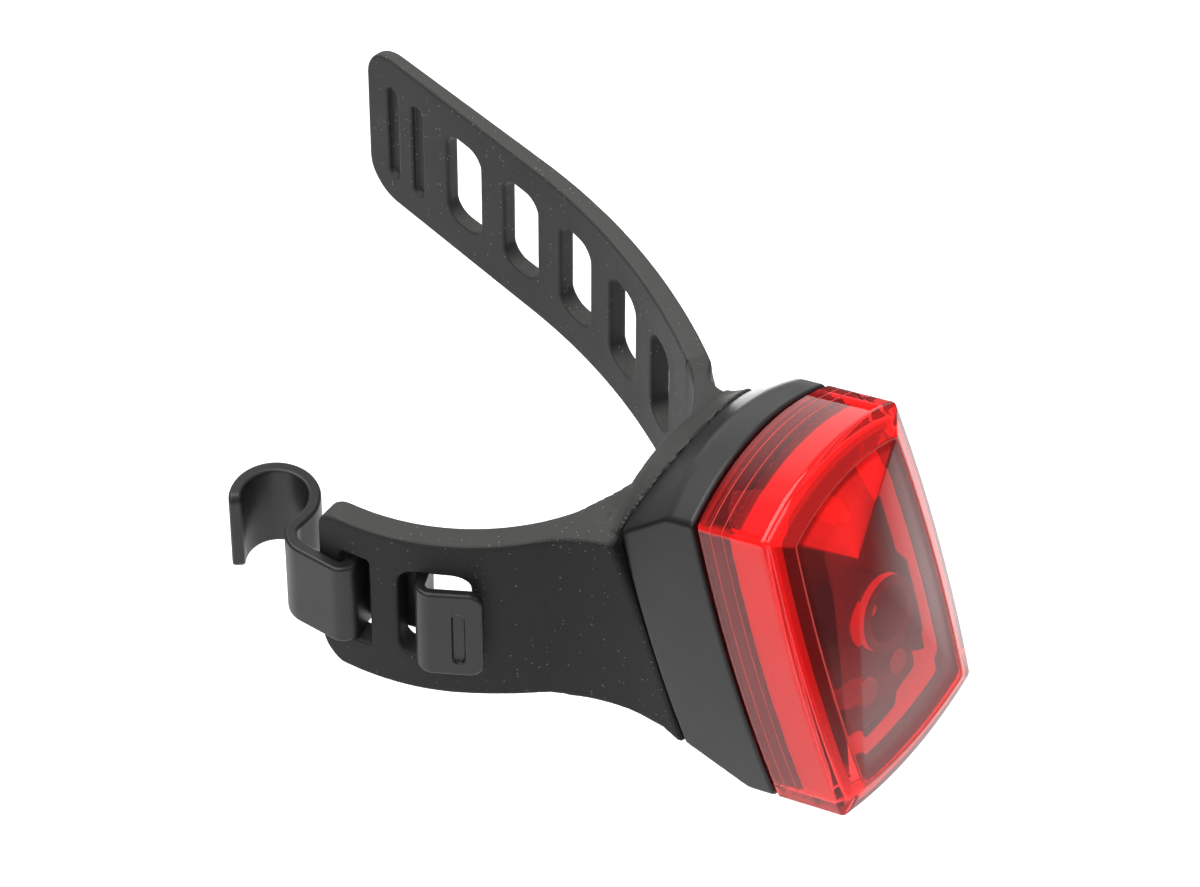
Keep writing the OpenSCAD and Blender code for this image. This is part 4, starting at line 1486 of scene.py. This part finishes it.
@dataclass
class Lens:
    """Red lens: bowed walls, bevelled rim and a window of four facets that rise to a peak."""

    head: HeadFrame
    depth: float = 9.3
    wall: float = 1.6
    rim: float = 3.2
    rise: float = 1.4
    peak: tuple[float, float, float] = (-2.8, 10.8, 3.0)
    corner: float = 0.8
    painted_line_z: Sequence[float] = (-7.6, -5.9)
    painted_line_half: float = 0.05
    ease: float = 0.12
    crest: Sequence[Span] = ((-0.15, -0.1), (0, -0.04), (0.3, -0.06))
    turn_z: float = -1.2
    shoulder: Sequence[Span] = (
        (0, -0.7), (0, -0.6), (0.07, -0.33), (0.27, -0.1), (0.55, 0.08), (0.63, 0.118))
    under: Sequence[Span] = ((2.7, -0.25), (2.5, -0.25), (1.9, -0.5), (1.68, -0.8))
    foot: float = 0.25
    sharp: Span = (4.0, 28.0)
    per_side: int = 14
    per_corner: int = 4

    def ring(self, inset: float, z: float) -> Array:
        """Points of the bowed outline at a level, drawn in by inset, with round corners.

        Args:
            inset: How far the outline is drawn in.
            z: Level of the ring.

        Returns:
            The points, one row each.
        """
        h, r = self.head, self.corner
        sides = [((0, -h.top_c), h.top_r), ((-h.side_c, 0), h.side_r), ((0, h.bottom_c), h.bottom_r),
                 ((h.side_c, 0), h.side_r)]
        signs = [(1, 1), (1, -1), (-1, -1), (-1, 1)]
        knots = []
        for i in range(4):
            (c0, r0), (c1, r1) = sides[i], sides[(i + 1) % 4]
            knots.append(self.meet(np.array(c0), r0 - inset - r, np.array(c1), r1 - inset - r, signs[i]))
        points = []
        for i in range(4):
            centre, radius = np.array(sides[i][0]), sides[i][1] - inset
            a, b = knots[i - 1] - centre, knots[i] - centre
            start, end = math.atan2(a[1], a[0]), math.atan2(b[1], b[0])
            end = start + (end - start + math.pi) % (2 * math.pi) - math.pi
            for t in np.linspace(start, end, self.per_side):
                points.append(centre + radius * np.array([math.cos(t), math.sin(t)]))
            nxt = knots[i] - np.array(sides[(i + 1) % 4][0])
            turn = math.atan2(nxt[1], nxt[0])
            turn = end + (turn - end + math.pi) % (2 * math.pi) - math.pi
            for t in np.linspace(end, turn, self.per_corner + 2)[1:-1]:
                points.append(knots[i] + r * np.array([math.cos(t), math.sin(t)]))
        return np.column_stack([np.array(points), np.full(len(points), z)])

    @staticmethod
    def meet(c0: Array, r0: float, c1: Array, r1: float, sign: tuple[int, int]) -> Array:
        """Point where two circles cross in the quarter that sign gives.

        Args:
            c0: Centre of the first circle.
            r0: Its radius.
            c1: Centre of the second circle.
            r1: Its radius.
            sign: Signs of x and y in that quarter.

        Returns:
            The point.
        """
        gap = c1 - c0
        size = float(np.linalg.norm(gap))
        a = (r0 * r0 - r1 * r1 + size * size) / (2 * size)
        h = math.sqrt(max(r0 * r0 - a * a, 0))
        mid = c0 + a * gap / size
        side = np.array([-gap[1], gap[0]]) / size
        both = [mid + h * side, mid - h * side]
        return max(both, key=lambda q: q[0] * sign[0] + q[1] * sign[1])

    def build(self) -> Piece:
        """Makes the lens.

        Returns:
            The lens.
        """
        # The two thin wall lines and the window's border take the opaque bright red: painted highlights.
        lines = [(0, z + h) for z in self.painted_line_z for h in (-self.painted_line_half, self.painted_line_half)]
        outer = [(self.ease, -self.depth), (0, -self.depth + self.ease), *lines, *self.shoulder,
                 *((self.rim + out, self.rise + up) for out, up in self.crest)]
        bright = {2, 4, len(outer) - 2}
        inner = [*self.under, (self.wall, self.turn_z), (self.wall, self.foot - self.depth),
                 (self.wall - self.foot, -self.depth)]
        bm = bmesh.new()
        rows = [[bm.verts.new(Vector(p)) for p in self.ring(i, z)] for i, z in outer]
        tip = bm.verts.new(Vector(self.peak))
        inside = [[bm.verts.new(Vector(p)) for p in self.ring(i, z)] for i, z in inner]
        below = bm.verts.new(Vector((self.peak[0], self.peak[1], inner[0][1])))
        count = len(rows[0])

        def band(low: list, high: list, slot: int = 0) -> None:
            """Joins two rings of points by quads.

            Args:
                low: First ring.
                high: Second ring.
                slot: Material slot of the quads.
            """
            for k in range(count):
                n = (k + 1) % count
                bm.faces.new((low[n], low[k], high[k], high[n])).material_index = slot

        for i, (low, high) in enumerate(zip(rows, rows[1:])):
            band(low, high, int(i in bright))
        for low, high in zip(inside, inside[1:]):
            band(low, high)
        band(inside[-1], rows[0])
        for k in range(count):
            n = (k + 1) % count
            bm.faces.new((rows[-1][n], rows[-1][k], tip))
            bm.faces.new((inside[0][k], inside[0][n], below))
        bmesh.ops.recalc_face_normals(bm, faces=bm.faces[:])
        for f in bm.faces:
            f.smooth = True
        for e in bm.edges:
            limit = self.sharp[0 if tip in e.verts or set(e.verts) <= set(rows[-1]) else 1]
            e.smooth = len(e.link_faces) != 2 or e.calc_face_angle(0) < math.radians(limit)
        mesh = bpy.data.meshes.new("lens_shell")
        slots = [f.material_index for f in bm.faces]
        bm.to_mesh(mesh)
        bm.free()
        spots = np.array([v.co for v in mesh.vertices])
        for v, co in zip(mesh.vertices, self.head.located(spots) * MM):
            v.co = Vector(co)
        lens = placed("lens_shell", mesh)
        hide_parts("lens")
        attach(lens, Body.LENS.value)
        dress(lens, RedLensFinish(self.head))
        lens.data.materials.append(PaintedRedLineFinish().material())
        mesh.polygons.foreach_set("material_index", slots)
        LOG.info("lens")
        return lens


@dataclass
class LightFrame:
    """Pale frame on the board: a thin wall round the works, a skirt along the lens and a flange, dark with
    painted shade except along its left side.
    """

    head: HeadFrame
    base_z: float = -6.0
    top_z: float = -1.2
    wall: Span = (3.7, 4.25)
    skirt: Span = (2.1, 3.8)
    skirt_z: Span = (-6.2, -1.0)
    flange: Span = (2.1, 5.0)
    flange_z: Span = (-1.45, -1.0)
    edge: float = 0.15
    mesh: Sequence[float] = (0.3, 0.3, 0.3)
    box: Box = ((-12.9, -20.6, -6.9), (12.9, 22.0, -0.5))

    def form(self, p: Array) -> Array:
        """Distance to the frame in the head's axes.

        Args:
            p: Places in the head's axes, one row each.

        Returns:
            Distances in mm, negative inside.
        """
        x, y, z = p.T
        parts = []
        for (near, far), (z0, z1) in ((self.wall, (self.base_z, self.top_z)), (self.skirt, self.skirt_z),
                                      (self.flange, self.flange_z)):
            plan = np.maximum(self.head.outline(x, y, near), -self.head.outline(x, y, far))
            parts.append(round_max(plan, np.maximum(z0 - z, z - z1), self.edge))
        return np.minimum.reduce(parts)

    def build(self) -> Piece:
        """Makes the frame.

        Returns:
            The frame.
        """
        item = Skinner(self.mesh).piece("light_frame_skin", self.form, *self.box, self.head.located)
        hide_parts("light_frame")
        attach(item, Body.HEAD.value)
        dress(item, FrameFinish(self.head))
        LOG.info("light frame")
        return item


@dataclass
class Inside:
    """Works of the light, seen through the lens or hidden in the case."""

    head: HeadFrame
    finishes: dict[str, MouldedFinish] = field(default_factory=lambda: {
        "main_led": DIODE, "side_leds": DIODE, "circuit_board": LAMINATE,
        "control_chip": RESIN, "board_resistors": RESIN, "board_capacitor": CAN, "press_switch": SWITCH,
        "switch_plunger": PLUNGER, "battery_tray": CASE, "coin_cell_1": STEEL, "coin_cell_2": STEEL,
        "positive_contact": BRASS, "negative_contact": BRASS, "case_seal": SEAL, "board_screws": STEEL,
        "strap_plate": STEEL, "strap_screws": STEEL})

    def dress_all(self) -> None:
        """Gives every piece of the works its finish."""
        for name, finish in self.finishes.items():
            dress(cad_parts[name], finish)
            LOG.info("%s in %s", name, finish.name)
        dress(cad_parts["lamp_cup"], CupFinish(self.head))
        LOG.info("lamp_cup in %s", CupFinish.name)


@dataclass
class Studio:
    """White floor, soft lights and the camera at the photograph's place."""

    turn: float = math.radians(-54.6828)
    rise: float = math.radians(47.6135)
    roll: float = math.radians(0.1851)
    shift: tuple[float, float, float] = (-7.6079, 9.4587, 671.6323)
    post_r: float = 15.8
    focal: float = 177.925
    sensor: float = 36.0
    floor_z: float = -0.06
    half: float = 3.0
    paper: Span = (0.12, 0.92)
    paper_glow: float = 0.5
    through: float = 0.3
    sheet: Span = (0.2, 0.36)
    sheet_shape: tuple[float, float, float] = (1, 1.6, 1)
    card: float = 0.7
    card_back: float = 1.3
    card_way: tuple[float, float, float] = (1, 0.25, 0)
    card_x: Span = (0.045, 0.07)
    card_y: Span = (-0.05, 0.03)
    sky: float = 0.3
    pane: float = 1.1
    pane_way: tuple[float, float, float] = (0.74, 0.66, 0.13)
    pane_span: Span = (0.65, 1.0)
    lamps: Sequence[tuple] = (
        ("top_light", (-0.1, 0.3, 0.9), (0, 0, 0), 0.9, 10.0),
        ("left_light", (-0.9, -0.1, 0.6), (0, -0.02, 0), 0.6, 2.5),
        ("front_light", (0.1, -0.9, 0.8), (0, -0.03, 0), 0.5, 2.0))

    def camera(self) -> None:
        """Places the camera."""
        level = math.cos(self.rise)
        back = np.array([math.sin(self.turn) * level, -math.cos(self.turn) * level, math.sin(self.rise)])
        right = np.array([math.cos(self.turn), math.sin(self.turn), 0])
        up = np.cross(back, right)
        x = math.cos(self.roll) * right + math.sin(self.roll) * up
        y = -math.sin(self.roll) * right + math.cos(self.roll) * up
        spot = self.shift[0] * x + self.shift[1] * y + self.shift[2] * back - np.array([0, self.post_r, 0])
        lens = bpy.data.cameras.new("camera")
        lens.lens, lens.sensor_width, lens.sensor_fit = self.focal, self.sensor, "HORIZONTAL"
        seat = placed("camera", lens)
        seat.matrix_world = Matrix([[x[k], y[k], back[k], spot[k] * MM] for k in range(3)] + [[0, 0, 0, 1]])
        bpy.context.scene.camera = seat

    def seen(self, board: Board, path: bpy.types.NodeOutputs) -> Socket:
        """How far the camera sees a surface, straight or through the lens."""
        inside = board.times(path["Is Transmission Ray"], self.through)
        return board.maths("MAXIMUM", path["Is Camera Ray"], inside)

    def floor(self) -> None:
        """Lays the white floor."""
        mesh = bpy.data.meshes.new("floor")
        corners = ((-1, -1), (1, -1), (1, 1), (-1, 1))
        spots = [(x * self.half, y * self.half, self.floor_z) for x, y in corners]
        mesh.from_pydata(spots, [], [(0, 1, 2, 3)])
        item = placed("floor", mesh)
        made, board = Board.blank("floor_white")
        path = board.add("ShaderNodeLightPath").outputs
        seen = self.seen(board, path)
        where = board.add("ShaderNodeTexCoord").outputs["Object"]
        shape = board.add("ShaderNodeVectorMath", {0: where, 1: self.sheet_shape}, operation="MULTIPLY")
        far = board.add("ShaderNodeVectorMath", {0: shape.outputs[0]}, operation="LENGTH").outputs["Value"]
        sheet = board.maths("MAXIMUM", seen, board.ramp(far, self.sheet[1], self.sheet[0]))
        paper = board.add("ShaderNodeBsdfDiffuse", {
            "Color": board.blend(sheet, *((tone, tone, tone, 1) for tone in self.paper))})
        right = board.ramp(board.dot(where, self.card_way), *self.card_x)
        behind = board.ramp(board.add("ShaderNodeSeparateXYZ", {0: where}).outputs[1], *self.card_y)
        bright = board.plus(board.times(behind, self.card_back), self.card)
        card = board.times(board.times(path["Is Glossy Ray"], bright), board.times(sheet, right))
        strength = board.plus(board.times(seen, self.paper_glow), card)
        glow = board.add("ShaderNodeEmission", {"Color": (1, 1, 1, 1), "Strength": strength})
        both = board.add("ShaderNodeAddShader", {0: paper.outputs[0], 1: glow.outputs[0]})
        board.add("ShaderNodeOutputMaterial", {"Surface": both.outputs[0]})
        mesh.materials.append(made)

    @staticmethod
    def light(name: str, spot: Sequence[float], aim: Sequence[float], size: float, watts: float) -> None:
        """Hangs one soft square light.

        Args:
            name: Name of the light.
            spot: Its place in metres.
            aim: The point that it faces.
            size: Its width in metres.
            watts: Its power.
        """
        lamp = bpy.data.lights.new(name, "AREA")
        lamp.shape, lamp.size, lamp.size_y, lamp.energy = "RECTANGLE", size, size, watts
        item = placed(name, lamp)
        item.location = spot
        item.rotation_euler = (Vector(spot) - Vector(aim)).to_track_quat("Z", "Y").to_euler()

    def build(self) -> None:
        """Sets up the whole studio."""
        self.camera()
        self.floor()
        world = bpy.data.worlds.new("studio")
        bpy.context.scene.world = world
        world.use_nodes = True
        world.node_tree.nodes.clear()
        board = Board(world.node_tree)
        path = board.add("ShaderNodeLightPath").outputs
        seen = self.seen(board, path)
        way = board.dot(board.add("ShaderNodeTexCoord").outputs["Generated"], self.pane_way)
        pane = board.plus(board.times(board.ramp(way, *self.pane_span), self.pane), self.sky)
        strength = board.between(seen, pane, 1.0)
        sky = board.add("ShaderNodeBackground", {"Color": (1, 1, 1, 1), "Strength": strength})
        board.add("ShaderNodeOutputWorld", {"Surface": sky.outputs[0]})
        for lamp in self.lamps:
            self.light(*lamp)
        bpy.context.scene.view_settings.view_transform = "Standard"
        LOG.info("studio")


def main() -> None:
    """Builds the light's pieces in order and sets up the studio."""
    logging.basicConfig(level=logging.INFO, format="%(name)s: %(message)s")
    head, long_arm, short_arm = HeadFrame(), LongArm(), ShortArm()
    Studio().build()
    Saddle(head, long_arm, short_arm).build()
    long_arm.build()
    short_arm.build()
    HookClip(short_arm).build()
    Case(head).build()
    Lens(head).build()
    LightFrame(head).build()
    Inside(head).dress_all()


if __name__ == "__main__":
    main()
